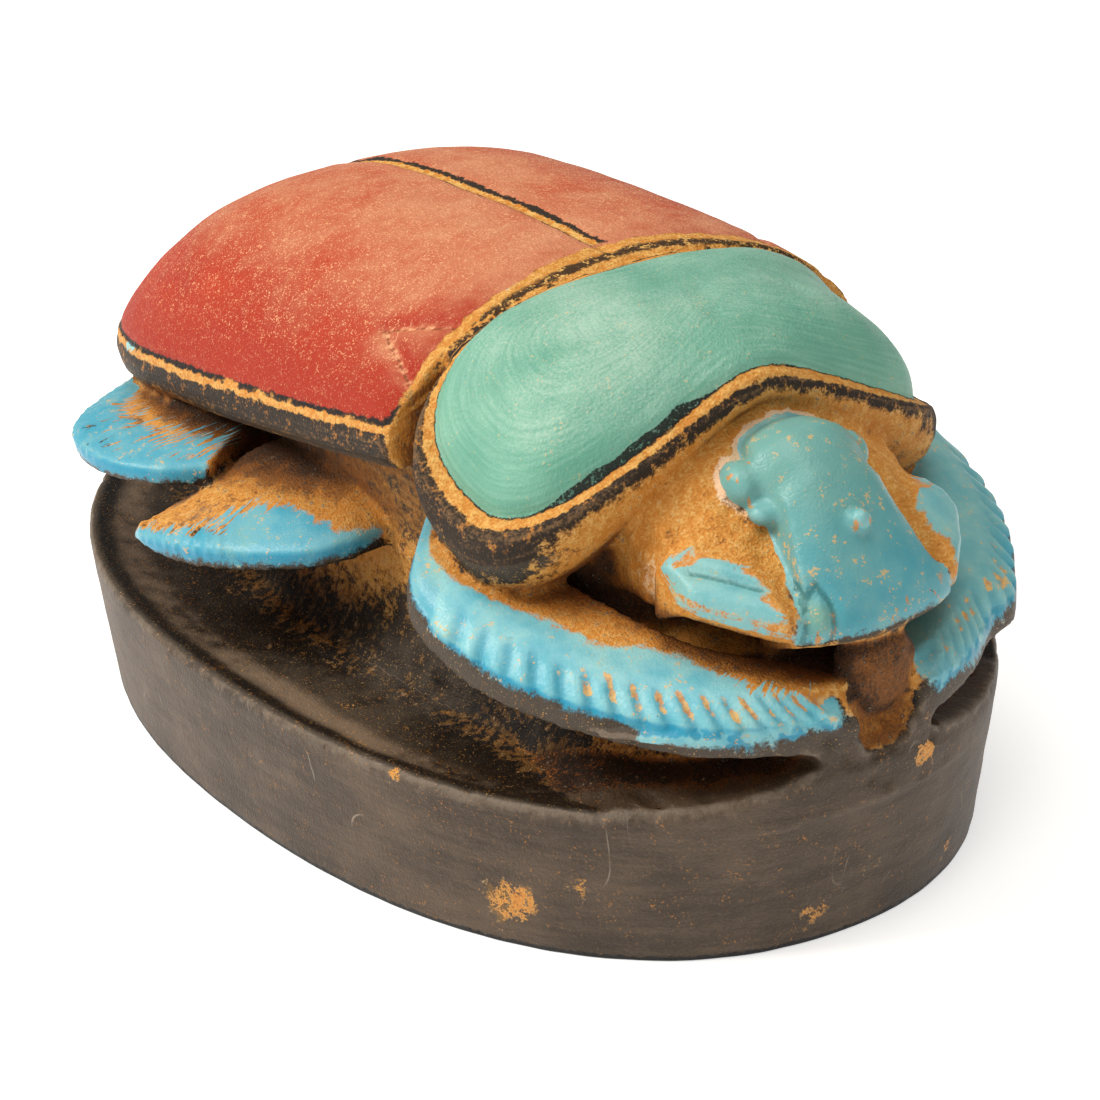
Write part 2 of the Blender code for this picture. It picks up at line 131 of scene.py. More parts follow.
def level(flat, height):
    """An outline laid at a height, or at a height for each of its points."""
    return np.column_stack([flat, np.broadcast_to(height, len(flat))])


def plinth_polar(angles):
    """The plinth's outline before it takes its size: an oval fuller at the front corners."""
    sine, cosine = np.abs(np.sin(angles)), np.abs(np.cos(angles))
    lobes = 1 + OUTLINE_EGG * np.cos(angles) + OUTLINE_LOBES * np.cos(3 * angles)
    reach = lobes / ((sine * LENGTH / WIDTH) ** OUTLINE_POWER + cosine**OUTLINE_POWER) ** (1 / OUTLINE_POWER)
    return np.column_stack([reach * np.sin(angles), -reach * np.cos(angles)])


def plinth_outline(angles):
    """The plinth's top outline, which fills the length and the width exactly."""
    whole = plinth_polar(turn(720))
    low, high = whole.min(axis=0), whole.max(axis=0)
    return (plinth_polar(angles) - (low + high) / 2) / (high - low) * np.array([WIDTH, LENGTH])


def plinth_reach(bearing):
    """Distance from the beetle's middle to the plinth's top outline along a bearing from the front."""
    flat = plinth_outline(np.linspace(-math.pi, math.pi, 721)) - np.array([0, WIDEST])
    bearings = np.arctan2(flat[:, 0], -flat[:, 1])
    return np.interp(bearing, bearings, np.hypot(flat[:, 0], flat[:, 1]))


def rim_spot(bearing, inset, height):
    """A place near the plinth's wall: bearing in degrees from the beetle's front, inset in metres."""
    angle = math.radians(bearing) + BEETLE_TURN
    reach = plinth_reach(angle) - inset
    return (reach * math.sin(angle), WIDEST - reach * math.cos(angle), PLINTH_HEIGHT + height * SHARE[2])


def within_wall(places, inset=WALL_GAP):
    """Places drawn back to the plinth's wall where they would stand out from it."""
    out = np.array(places, float)
    flat = out[:, :2] - np.array([0, WIDEST])
    reach = np.hypot(flat[:, 0], flat[:, 1])
    limit = plinth_reach(np.arctan2(flat[:, 0], -flat[:, 1])) - inset
    out[:, :2] = flat * (np.minimum(reach, limit) / reach)[:, None] + np.array([0, WIDEST])
    return out


def smooth_path(points, count):
    """A smooth curve through the points, by cubic pieces that share their tangents."""
    p = np.asarray(points, float)
    p = np.vstack([2 * p[0] - p[1], p, 2 * p[-1] - p[-2]])
    pieces = len(p) - 3
    t = np.linspace(0, pieces, count)
    k = np.minimum(t.astype(int), pieces - 1)
    u = (t - k)[:, None]
    a, b, c, d = p[k], p[k + 1], p[k + 2], p[k + 3]
    return 0.5 * (2 * b + (c - a) * u + (2 * a - 5 * b + 4 * c - d) * u**2 + (3 * b - a - 3 * c + d) * u**3)


def run_of(path):
    """Distance in mm along a path, or along each of several paths side by side."""
    steps = np.linalg.norm(np.diff(path, axis=0), axis=-1)
    return np.concatenate([np.zeros((1,) + steps.shape[1:]), np.cumsum(steps, axis=0)]) / MM


def from_row(rings, row):
    """Distance in mm over a shell from one of its rings, positive towards the later rings."""
    run = run_of(rings)
    return run - run[row]


def round_section(rings, top):
    """Distance in mm round each section from its first point: positive over the top, negative below."""
    closed = np.concatenate([rings, rings[:, :1]], axis=1)
    forward = run_of(np.swapaxes(closed, 0, 1)).T
    whole = forward[:, -1:]
    forward = forward[:, :-1]
    return np.where(np.arange(rings.shape[1]) < top, forward, forward - whole)


class Sculpture:
    """Closed shells that overlap, before they are fused. Each point knows its form and its place on it."""

    def __init__(self):
        self.points = []
        self.triangles = []
        self.places = []
        self.count = 0

    def add(self, form, points, triangles, across, along):
        self.points.append(np.asarray(points, float))
        self.triangles.append(np.asarray(triangles, int) + self.count)
        self.places.append(np.column_stack([np.full(len(points), FORM[form]), across, along]))
        self.count += len(points)

    def loft(self, form, rings, across=None, along=None, mirrored=False):
        """A closed shell through rings of equally many points, with a fan at each end."""
        rings = np.asarray(rings, float)
        rows, n = rings.shape[:2]
        r, i = np.meshgrid(np.arange(rows - 1), np.arange(n), indexing="ij")
        j = (i + 1) % n
        a, b, c, d = (k.ravel() for k in (r * n + i, r * n + j, (r + 1) * n + j, (r + 1) * n + i))
        ring = np.arange(n)
        after = (ring + 1) % n
        first, last = rows * n, rows * n + 1
        top = (rows - 1) * n
        triangles = np.concatenate([
            np.column_stack([a, b, c]),
            np.column_stack([a, c, d]),
            np.column_stack([after, ring, np.full(n, first)]),
            np.column_stack([top + ring, top + after, np.full(n, last)]),
        ])
        if mirrored:
            triangles = triangles[:, ::-1]

        def with_ends(values):
            values = np.zeros((rows, n)) if values is None else np.broadcast_to(values, (rows, n))
            return np.concatenate([values.ravel(), [values[0].mean(), values[-1].mean()]])

        points = np.vstack([rings.reshape(-1, 3), rings[0].mean(axis=0), rings[-1].mean(axis=0)])
        self.add(form, points, triangles, with_ends(across), with_ends(along))

    def ball(self, form, centre, radii):
        """A ball squashed to its radii."""
        shape = bmesh.new()
        bmesh.ops.create_icosphere(shape, subdivisions=4, radius=1)
        shape.verts.ensure_lookup_table()
        points = np.array([v.co for v in shape.verts]) * np.asarray(radii) + np.asarray(centre)
        triangles = [[v.index for v in f.verts] for f in shape.faces]
        shape.free()
        self.add(form, points, triangles, np.zeros(len(points)), np.zeros(len(points)))

    def mesh(self, name):
        mesh = bpy.data.meshes.new(name)
        mesh.from_pydata(np.vstack(self.points).tolist(), [], np.vstack(self.triangles).tolist())
        mesh.update()
        return mesh


def plinth(work):
    """The oval block: a wall that flares upward, a bevelled edge and a shallow dish on top."""
    outline = plinth_outline(turn(3 * AROUND))
    bearing = np.abs(np.arctan2(outline[:, 0], -outline[:, 1]))
    rim = PLINTH_HEIGHT + FRONT_RISE * bell(bearing, math.radians(11))

    def ring(scale, inset, height):
        flat = outline * scale
        return level(flat * (1 - inset / np.hypot(flat[:, 0], flat[:, 1]))[:, None], height)

    foot = ring(1 - (1 + SPARE) * (1 - 1 / FLARE), 0, -SPARE * PLINTH_HEIGHT)
    rings = [foot, ring(1, 0, rim - EDGE_BEVEL), ring(1, EDGE_BEVEL, rim)]
    for inset, depth in ((0.04, 0.12), (0.09, 0.45), (0.2, 0.85), (0.32, 1.0), (0.5, 0.6), (0.8, 0.6)):
        rings.append(ring(1, inset * HALF_WIDTH, rim - depth * DISH_DEPTH))
    rings = np.array(rings)
    work.loft("plinth", rings, from_row(rings, 2))


NOTCH_TOP = 20.3  # height of the leg tips on either side of the front notch
NOTCH_BOTTOM = 7.0
NOTCH_SPREAD = 4.6  # half of the notch's width at the top, in degrees
NOTCH_ASIDE = 0.7  # the notch lies a little to one side, in degrees
NOTCH_INSET = 0.0026

# Height of the front pillar's sections, and how far they spread to either side, in degrees
PILLAR = (
    (-6, 32), (0.7, 24), (1.7, 18), (2.7, 14), (4.5, 9.9), (5.9, 7.9), (7.7, 5.9), (10, 6.4), (12.9, 7.9),
    (14.6, 9.9), (16.6, 13), (18, 19), (NOTCH_TOP, 26),
)


def front_pillar(work):
    """The front of the block under the leg tips: flush with the wall, pinched where the two hollows end,
    with a round-bottomed notch in its middle."""
    rings = []
    hollow = []
    for height, spread in PILLAR:
        bearings = np.linspace(-spread, spread, 81)
        climb = max(0.0, (height - NOTCH_BOTTOM) / (NOTCH_TOP - NOTCH_BOTTOM))
        width = NOTCH_SPREAD * climb**0.4 + 0.01
        bowl = np.sqrt(np.clip(1 - ((bearings - NOTCH_ASIDE) / width) ** 2, 0, 1))
        depth = NOTCH_INSET * bowl * min(1.0, 4 * climb)
        outer = [rim_spot(b, WALL_GAP + d, height) for b, d in zip(bearings, depth)]
        inner = [rim_spot(b, 0.34 * HALF_WIDTH, height) for b in bearings[::-1]]
        rings.append(outer + inner)
        hollow.append(np.concatenate([depth / MM, np.ones(len(bearings))]))
    work.loft("pillar", rings, np.array(hollow))


def trunk(work):
    """The belly between the legs, undercut below the wing cases."""
    rings = []
    for height, width, front, rear in (
        (-6, 64, 88, 82),
        (1, 60, 86, 79),
        (8, 56, 86, 76),
        (20, 55, 86, 74),
        (35, 56, 78, 76),
        (50, 60, 74, 80),
        (64, 62, 70, 76),
        (78, 50, 60, 60),
    ):
        flat = oval(turn(), width, front, rear, front_power=2.4, rear_power=2.4)
        rings.append(body(level(flat, height)))
    work.loft("trunk", rings)


def border_height(y):
    """Height of the wing cases' painted border, which falls towards the rear."""
    return 64 - 0.23 * y


CROWN = 98.4
CROWN_FALL = 0.056  # how far the crown line falls for each share of length towards the rear
SHIELD_REAR = -38.6  # where the wing cases meet the shield
DOME_POWER = 0.9


def wing_cases(work):
    """The domed wing cases with the thick rim under their border."""
    flat = oval(turn(3 * AROUND), half_width=73, front=122, rear=58.8, front_power=2.6, rear_power=2.55)
    rings = []
    for scale, drop in ((0.7, 16), (0.9, 14), (0.975, 12.4), (1.01, 9), (1.02, 5), (1.01, 1.4), (1, 0)):
        ring = flat * scale + np.array([0, 32.2])
        rings.append(level(ring, border_height(ring[:, 1]) - drop))
    border = len(rings) - 1
    for step in range(1, 32):
        scale = math.cos(step / 32 * math.pi / 2)
        ring = flat * scale + np.array([0, 8.3 + 23.9 * scale])
        edge = border_height(ring[:, 1])
        crown = CROWN - CROWN_FALL * ring[:, 1]
        rings.append(level(ring, edge + (crown - edge) * (1 - scale**3) ** DOME_POWER))
    rings = np.array(rings)
    across = from_row(body(rings), border)
    rings[:, :, 1] = np.maximum(rings[:, :, 1], SHIELD_REAR + 4)
    work.loft("case", body(rings), across)


SHIELD_MIDDLE = -50.0
SHIELD_HALF_WIDTH = 62.5
SHIELD_ASIDE = -2.5  # the shield sits a little to one side
SHIELD_LEDGE = 0.955  # the pillow stands on a ledge that leaves this share of the shield to it
SHIELD_FRONT = 22
ARCH_ROUNDNESS = 0.16  # how gently the arch over the head turns at its top


def shield_border(angles):
    """The painted border of the shield: low along the lobes, an arch over the head, a higher arch behind."""
    flat = oval(angles, SHIELD_HALF_WIDTH, SHIELD_FRONT, rear=14.2, front_power=3.4, rear_power=5)
    across = np.clip(np.abs(flat[:, 0]) / SHIELD_HALF_WIDTH, 0, 1)
    front = 93.5 - 34 * np.sqrt(across**2 + ARCH_ROUNDNESS**2)
    rear = 64 + 34.6 * (1 - across**2.4) ** 0.5
    blend = 0.5 - 0.5 * np.clip(flat[:, 1] / 8, -1, 1)
    return flat, rear + (front - rear) * blend * blend * (3 - 2 * blend)


def pronotum(work):
    """The shield behind the head: a pillow with a lobe down each side, on a ledge with a rolled rim."""
    flat, height = shield_border(turn(3 * AROUND))
    front = np.clip(-flat[:, 1] / SHIELD_FRONT, 0, 1)
    sideways = 0.5 + 0.5 * np.abs(flat[:, 0]) / SHIELD_HALF_WIDTH
    rings = []
    for scale, drop in (
        (0.75, 22), (0.93, 20), (1.01, 16), (1.045, 11),
        (1.05, 6), (1.035, 2.6), (1.01, 1.6), (SHIELD_LEDGE, 0.4),
    ):
        rings.append(level(flat * scale, height - drop * sideways))
    border = len(rings) - 1
    for step in range(1, 29):
        scale = math.cos(step / 29 * math.pi / 2)
        top = 98.8 - 2.5 * front * scale**2
        rings.append(level(flat * scale * SHIELD_LEDGE, height + (top - height) * (1 - scale**2.4) ** 0.55))
    rings = body(np.array(rings) + np.array([SHIELD_ASIDE, SHIELD_MIDDLE, 0]))
    around = run_of(np.swapaxes(rings[border : border + 1], 0, 1))[:, 0]
    work.loft("shield", rings, from_row(rings, border), around)


HEAD_LIP = 9  # the row of the head plate where its front edge turns under
HEAD_POINTS = 61

# Rows of the head plate from its rear to under its lip: place and height in the middle, the same at the
# sides, half width, depth of the side wall, and how crisp the side edges are
HEAD_ROWS = (
    (-72, 74, -71.5, 70, 9, 9, 2.0),
    (-77, 77.4, -76.5, 73.5, 11, 10, 2.2),
    (-81.3, 78, -80, 72.6, 13, 12, 2.4),
    (-84.4, 75.5, -83, 69.5, 13.6, 12, 2.4),
    (-85.8, 74, -85, 66.8, 12.8, 8, 2.6),
    (-88.6, 70.5, -87.7, 65, 13.2, 7, 2.8),
    (-92, 64.5, -90.8, 58.6, 14.6, 7, 3.0),
    (-96.3, 54.5, -94.9, 50.6, 17.2, 7, 3.0),
    (-100.3, 45.2, -98.2, 43.8, 20.6, 5, 2.8),
    (-101.3, 41, -98.8, 40.5, 21.3, 2, 2.4),
    (-101.2, 37, -98.4, 38.2, 20.7, 1, 2.4),
    (-99.5, 35, -97, 36, 19, 0.5, 2.4),
)


def head(work):
    """The shovel-like middle plate of the head: a rounded skull, then a plate that slopes steeply forward
    between two crisp side edges."""
    u = np.linspace(-1, 1, HEAD_POINTS)
    flat_part = 0.84  # share of the half width before the surface turns down to its side
    across = np.clip(np.abs(u) / flat_part, 0, 1) * np.sign(u)
    side_wall = np.clip((np.abs(u) - flat_part) / (1 - flat_part), 0, 1)
    rings = []
    for y, z, side_y, side_z, width, wall, crisp in HEAD_ROWS:
        bow = np.abs(across) ** crisp
        x = width * across * (1 + 0.03 * side_wall)
        height = z + (side_z - z) * bow - wall * side_wall
        over = np.column_stack([x, y + (side_y - y) * bow + 0.5 * side_wall, height])
        behind = np.column_stack([width * 0.85 * u[::-1], np.full(HEAD_POINTS, y + 16)])
        rings.append(body(np.vstack([over, level(behind, min(z - 9, 58.0))])))
    rings = np.array(rings)
    up = -from_row(rings, HEAD_LIP)
    up[:, HEAD_POINTS:] = -6
    work.loft("head", rings, up, mirrored=True)


def cheek(work, side):
    """The flat plate beside the head's middle, from its outer corner to under the middle plate."""
    rings = []
    thick = 8.5
    for x, front, front_z, rear, rear_z in (
        (37.8, -86, 50.5, -80.5, 52.5),
        (37, -87.5, 50.2, -79.5, 53.5),
        (31, -93, 48.4, -79.5, 56.5),
        (24, -98, 46.6, -82, 56),
        (15, -97, 43.5, -87, 52),
        (6, -95, 41, -88, 48),
    ):
        ring = (
            (rear, rear_z),
            ((front + rear) / 2, (front_z + rear_z) / 2 + 0.8),
            (front + 0.8, front_z),
            (front, front_z - 1.2),
            (front + 0.4, front_z - thick + 1.5),
            (front + 2, front_z - thick),
            (rear + 3, rear_z - thick - 8),
            (rear + 3, rear_z - 4),
        )
        rings.append(body([(side * x, y, z) for y, z in ring]))
    up = np.array([5.0, 2.6, 0.3, -0.3, -2.6, -3.4, -6, -6])  # distance in mm from the plate's front edge
    work.loft("cheek", rings, up, mirrored=side < 0)


def ledge(work, form, side, edge, inner, section, thick, face):
    """A leg: a ledge from the trunk to an outer edge, with an upright outer face. The section gives its top
    as pairs of share inward and rise, thick its depth along its length, and face the face's height."""
    rings = []
    rise = np.array([0, 0, SHARE[2]])
    for e, i, t in zip(edge, inner, thick):
        down = np.array([0, 0, face * t])
        top = [e] + [e + (i - e) * share + rise * lift * t for share, lift in section]
        under = [i - down * 2.6, e + (i - e) * 0.5 - down * 1.8, e + (i - e) * 0.12 - down * 1.15, e - down]
        rings.append(np.array(top + under))
    rings = np.array(rings)
    along = run_of(edge)[:, None]
    work.loft(form, rings, round_section(rings, len(section) + 1), along, mirrored=side > 0)


def swelling(count, start, end):
    """1 along the middle, easing to the start and end values."""
    t = np.linspace(0, 1, count)
    ease = 0.35  # share of the length over which it eases
    near_start = np.clip(1 - t / ease, 0, 1)
    near_end = np.clip(1 - (1 - t) / ease, 0, 1)
    return 1 - (1 - start) * near_start**2 - (1 - end) * near_end**2


def on_side(side, places):
    """Places of a leg on one side, given for the side where x is positive."""
    return body(np.array(places) * (side, 1, 1))


def front_leg(work, side):
    """A bent leg that runs forward along the wall and meets its twin at the notch."""
    tip = 8.7 if side < 0 else 10.5
    places = on_side(side, (
        (tip, -104, 19), (19.6, -103, 19.4), (28, -101.6, 20.8), (36, -99.1, 21.7), (44.6, -94.9, 22.5),
        (52.3, -89.8, 23.5), (59.8, -84.2, 25.2), (66.3, -78.3, 27.1), (72.4, -71.2, 29.8),
        (76.6, -63.1, 32.8), (78.3, -55.8, 36.1), (77.3, -49.2, 40.6), (70.6, -42.7, 43.3),
        (62.1, -36.5, 44.1),
    ))
    flush = 5  # the foremost places lie in the plinth's wall
    places[:flush] = within_wall(places[:flush])
    inner = on_side(side, (
        (9, -90, 23), (20, -87, 26), (33, -78, 30), (44, -64, 37), (52, -48, 44), (52, -34, 46),
    ))
    section = ((0.05, 1.2), (0.16, 3.0), (0.34, 4.2), (0.55, 3.8), (0.8, 2.6), (1, 1.5))
    n = 140
    edge, inner = smooth_path(places, n), smooth_path(inner, n)
    ledge(work, "front_leg", side, edge, inner, section, swelling(n, 1, 0.8), face=0.0032)


def middle_leg(work, side):
    """A leaf-shaped wedge that reaches out and back to a pointed tip."""
    places = on_side(side, (
        (54, -18.5, 32.5), (65, -18.5, 31.5), (75, -16, 30), (84.5, -9, 28), (93, 2, 25.3), (96.5, 12, 22.8),
        (97.8, 19, 20.8),
    ))
    inner = on_side(side, (
        (46, -17, 38), (47, -4, 42), (52, 8, 42), (62, 16, 38), (80, 19, 28), (96, 21, 21),
    ))
    section = ((0.06, 1.0), (0.25, 2.2), (0.6, 2.2), (1, 1))
    n = 96
    edge, inner = within_wall(smooth_path(places, n), inset=0.0005), smooth_path(inner, n)
    ledge(work, "middle_leg", side, edge, inner, section, swelling(n, 0.9, 0.2), face=0.0022)


def hind_leg(work, side):
    """A broad paddle along the rear flank, cut off obliquely at its front end."""
    places = on_side(side, (
        (79, 15, 37), (89, 20, 36.6), (95.5, 28, 36), (97, 38, 35), (93, 48, 34.2), (82, 56, 33.8),
        (68, 61.5, 33.8), (55, 63, 33.8),
    ))
    inner = on_side(side, (
        (50, 26, 40), (50, 34, 40), (50, 42, 40), (48, 50, 38), (44, 56, 36), (40, 58, 35),
    ))
    section = ((0.05, 1.0), (0.2, 2.4), (0.6, 2.6), (1, 2))
    n = 96
    edge, inner = smooth_path(places, n), smooth_path(inner, n)
    ledge(work, "hind_leg", side, edge, inner, section, swelling(n, 1, 0.8), face=0.0019)


def chest(work):
    """The bed inside the front legs, from which the head stands out; it is undercut towards the plinth."""
    middle = -57
    rings = []
    for height, width, front, rear in (
        (-6, 55, 36, 40),
        (2, 50, 35, 40),
        (9, 46, 35, 40),
        (15, 52, 38, 40),
        (20, 58, 41, 40),
        (23.5, 56, 39, 38),
        (27, 44, 31, 30),
        (31, 34, 24, 24),
        (48, 30, 20, 20),
    ):
        flat = oval(turn(), width, front, rear, front_power=2.2, rear_power=2.4)
        rings.append(body(level(flat + np.array([0, middle]), height)))
    work.loft("chest", rings)


def small_forms(work):
    """Eyes, brows, the bump on the head, and the rough root that runs from under the head into the notch."""
    for side in (-1, 1):
        work.ball("knob", body((side * 15.2, -78.3, 65.8)), (0.0018, 0.0025, 0.0021))
        work.ball("knob", body((side * 13.2, -83.5, 61)), (0.0020, 0.0016, 0.0012))
    work.ball("knob", body((0, -94.3, 61.4)), (0.0011, 0.0011, 0.0011))
    work.ball("neck", body((1.5, -96.7, 25)), (0.0043, 0.0026, 0.0050))


def neck(work):
    """The bed that fills the corners between the shield, the head and the cheeks."""
    rings = []
    for x, back, low, lift in (
        (36, 8, 8, 0),
        (34, 4, 3, 0),
        (24, 0, 0, 2),
        (12, 0, 0, 8),
        (0, 0, 0, 12),
        (-12, 0, 0, 8),
        (-24, 0, 0, 2),
        (-34, 4, 3, 0),
        (-36, 8, 8, 0),
    ):
        ring = (
            (-60, 72 + lift),
            (-73 + back, 65 + lift - low),
            (-80 + back, 59 + lift / 3 - low),
            (-86 + back, 54 - low),
            (-91 + back, 49 - low),
            (-90 + back, 42),
            (-78, 38),
            (-60, 38),
        )
        rings.append(body([(x, y, z) for y, z in ring]))
    work.loft("neck", rings)


def all_forms():
    work = Sculpture()
    for form in (plinth, front_pillar, trunk, wing_cases, pronotum, head, chest, neck, small_forms):
        form(work)
    for side in (-1, 1):
        for form in (cheek, front_leg, middle_leg, hind_leg):
            form(work, side)
    return work


# Fusing and reading places back

def read(items, name, width, kind=float):
    """One property of all points or edges, in rows of the given width."""
    values = np.empty(len(items) * width, kind)
    items.foreach_get(name, values)
    return values.reshape(-1, width)


def points_of(mesh):
    return read(mesh.vertices, "co", 3)


def normals_of(mesh):
    return read(mesh.vertices, "normal", 3)


def edges_of(mesh):
    return read(mesh.edges, "vertices", 2, int)


def move_points(mesh, points):
    mesh.vertices.foreach_set("co", points.ravel())
    mesh.update()


def evened(values, edges, rounds):
    """Values averaged with their neighbours' over the mesh, several times."""
    values = np.array(values, float)
    first, second = edges.T
    count = np.bincount(edges.ravel(), minlength=len(values)).astype(float) + 1
    for _ in range(rounds):
        total = values + np.bincount(first, weights=values[second], minlength=len(values))
        total += np.bincount(second, weights=values[first], minlength=len(values))
        values = total / count
    return values


def with_modifier(mesh, kind, **settings):
    """The mesh as one modifier leaves it."""
    block = bpy.data.objects.new("work", mesh)
    bpy.context.scene.collection.objects.link(block)
    modifier = block.modifiers.new("work", kind)
    for name, value in settings.items():
        setattr(modifier, name, value)
    bpy.context.view_layer.update()
    made = bpy.data.meshes.new_from_object(block.evaluated_get(bpy.context.evaluated_depsgraph_get()))
    bpy.data.objects.remove(block)
    return made


def flatten_underside(mesh):
    """Cuts the block off flat at Z = 0, and closes the cut with one face."""
    shape = bmesh.new()
    shape.from_mesh(mesh)
    everything = shape.verts[:] + shape.edges[:] + shape.faces[:]
    cut = {"dist": 1e-6, "plane_co": (0, 0, 0), "plane_no": (0, 0, 1), "clear_inner": True}
    bmesh.ops.bisect_plane(shape, geom=everything, **cut)
    rim = [edge for edge in shape.edges if edge.is_boundary]
    for vert in {vert for edge in rim for vert in edge.verts}:
        vert.co.z = 0
    bmesh.ops.contextual_create(shape, geom=rim)
    bmesh.ops.recalc_face_normals(shape, faces=shape.faces[:])
    bmesh.ops.triangulate(shape, faces=[face for face in shape.faces if len(face.verts) > 4])
    shape.to_mesh(mesh)
    shape.free()


class Places:
    """For each point of the fused skin: its form, its place on it, and its place in the beetle's frame."""

    def __init__(self, work, points):
        source = np.vstack(work.points)
        triangles = np.vstack(work.triangles)
        values = np.vstack(work.places)
        tree = BVHTree.FromPolygons(source.tolist(), triangles.tolist(), all_triangles=True)
        hits = [tree.find_nearest(point) for point in points.tolist()]
        found = triangles[[hit[2] for hit in hits]]
        spot = np.array([hit[0] for hit in hits])
        a, b, c = (source[found[:, k]] for k in range(3))
        whole = np.linalg.norm(np.cross(b - a, c - a), axis=1) + 1e-18
        to_b = np.linalg.norm(np.cross(spot - a, c - a), axis=1) / whole
        to_c = np.linalg.norm(np.cross(b - a, spot - a), axis=1) / whole
        weights = np.column_stack([np.clip(1 - to_b - to_c, 0, 1), to_b, to_c])
        mixed = np.einsum("ij,ijk->ik", weights, values[found])
        self.form = values[found[:, 0], 0].astype(int)
        self.across = mixed[:, 1]
        self.along = mixed[:, 2]
        self.x, self.y, self.z = beetle_mm(points).T

    def on(self, *names):
        return np.isin(self.form, [FORM[name] for name in names])


# Chisel work

def lump(points, size, seed):
    """Smooth random values from about -1 to 1, with lumps of the given size in mm."""
    scaled = points / (size * MM) + seed * np.array([17.3, 5.1, 9.7])
    return np.array([noise.noise(Vector(p)) for p in scaled.tolist()]) * 1.6


def bell(distance, width):
    return np.exp(-((distance / width) ** 2))


def ramp(values, start, width):
    """0 at the start, 1 from one width further on. With a negative width it climbs the other way."""
    return np.clip((values - start) / width, 0, 1)


def segment_distance(px, py, start, end):
    """Distance in the plane from points to a straight stroke."""
    d = np.subtract(end, start)
    t = np.clip(((px - start[0]) * d[0] + (py - start[1]) * d[1]) / (d @ d), 0, 1)
    return np.hypot(px - start[0] - t * d[0], py - start[1] - t * d[1])


# Run along the front leg in mm, and the number of the stroke there: they stand wider apart towards the rear
COMB_RUN = (2.6, 14.4, 26.8, 35.4, 41.6, 46.2)
COMB_NUMBER = (0, 6, 11, 14, 16, 17)
FAR_COMB_FILL = 0.65  # less ochre has stayed in the far leg's comb


def comb_phase(place):
    """Place between the front legs' comb strokes: 0 on a stroke, up to 0.5 either side, + to the rear."""
    slant = np.interp(place.along, (0, 14, 40), (1.0, 0.55, 0.15))
    run = place.along - slant * (place.across - 0.6) - 0.04 * place.across**2
    number = np.interp(run, COMB_RUN, COMB_NUMBER)
    return number - np.round(number)


def comb_reach(place):
    """How deep the comb strokes are cut, from 0 to 1."""
    inward = ramp(place.across, 3.6, -1.2) * ramp(place.across, -1.0, 0.8)
    lengthwise = np.interp(place.along, (0, 1.5, 30, 42, 52), (0.5, 1, 1, 0.45, 0))
    return inward * lengthwise * place.on("front_leg")


def comb_fill(place):
    """How much ochre has stayed in the strokes of the comb, from 0 to 1."""
    inward = ramp(place.across, 0.5, 0.6) * ramp(place.across, 4.4, -1.2)
    lengthwise = np.interp(place.along, (0, 2, 28, 35), (1, 1, 0.9, 0))
    return inward * lengthwise * place.on("front_leg") * np.where(place.x < 0, 1.0, FAR_COMB_FILL)


def ridges(place, form, pitch, first, reach):
    """Fine strokes near a leg's rear end: 1 on their crests, 0 between them and elsewhere."""
    last = 44
    run = (place.along - 0.2 * place.across) / pitch
    wave = np.abs(run - np.round(run)) * 2
    mask = ramp(place.along, first, 2) * ramp(place.along, last, -2)
    mask = mask * ramp(place.across, reach, -1.0) * ramp(place.across, -1, 1)
    return wave * mask * place.on(form)


# Straight cut marks: two on each wing case by the shield, one on the near cheek (x and y in mm)
CASE_MARKS = (((22.6, -11.2), (19.0, -19.4)), ((22.6, -11.2), (25.2, -20.6)))
CHEEK_MARKS = (((14.6, -52.2), (10.4, -57.2)),)
# The arch cut into the head plate's near corner (x and z in mm)
PLATE_MARKS = (
    ((-8.6, 32.8), (-7.5, 36.2)),
    ((-7.5, 36.2), (-6.0, 37.4)),
    ((-6.0, 37.4), (-5.4, 35.8)),
    ((-5.4, 35.8), (-5.8, 32.4)),
)
FAR_FROM_MARKS = 3.0

# Dimples in the shield: x, y and radius in mm
DIMPLES = (
    (0.4, -33.4, 1.3),
    (-0.9, -37.6, 1.0),
    (-17.9, -35.8, 1.5),
    (-12.5, -33.0, 1.2),
    (11.0, -35.0, 1.4),
)


def mark_distance(place):
    """Distance in mm from the cut marks, up to the distance that counts as far."""
    side = np.abs(place.x)
    away = np.full(len(side), FAR_FROM_MARKS)
    for form, first, second, marks in (
        ("case", side, place.y, CASE_MARKS),
        ("cheek", -place.x, place.y, CHEEK_MARKS),
        ("head", place.x, place.z, PLATE_MARKS),
    ):
        for start, end in marks:
            near = np.minimum(away, segment_distance(first, second, start, end))
            away = np.where(place.on(form), near, away)
    return away


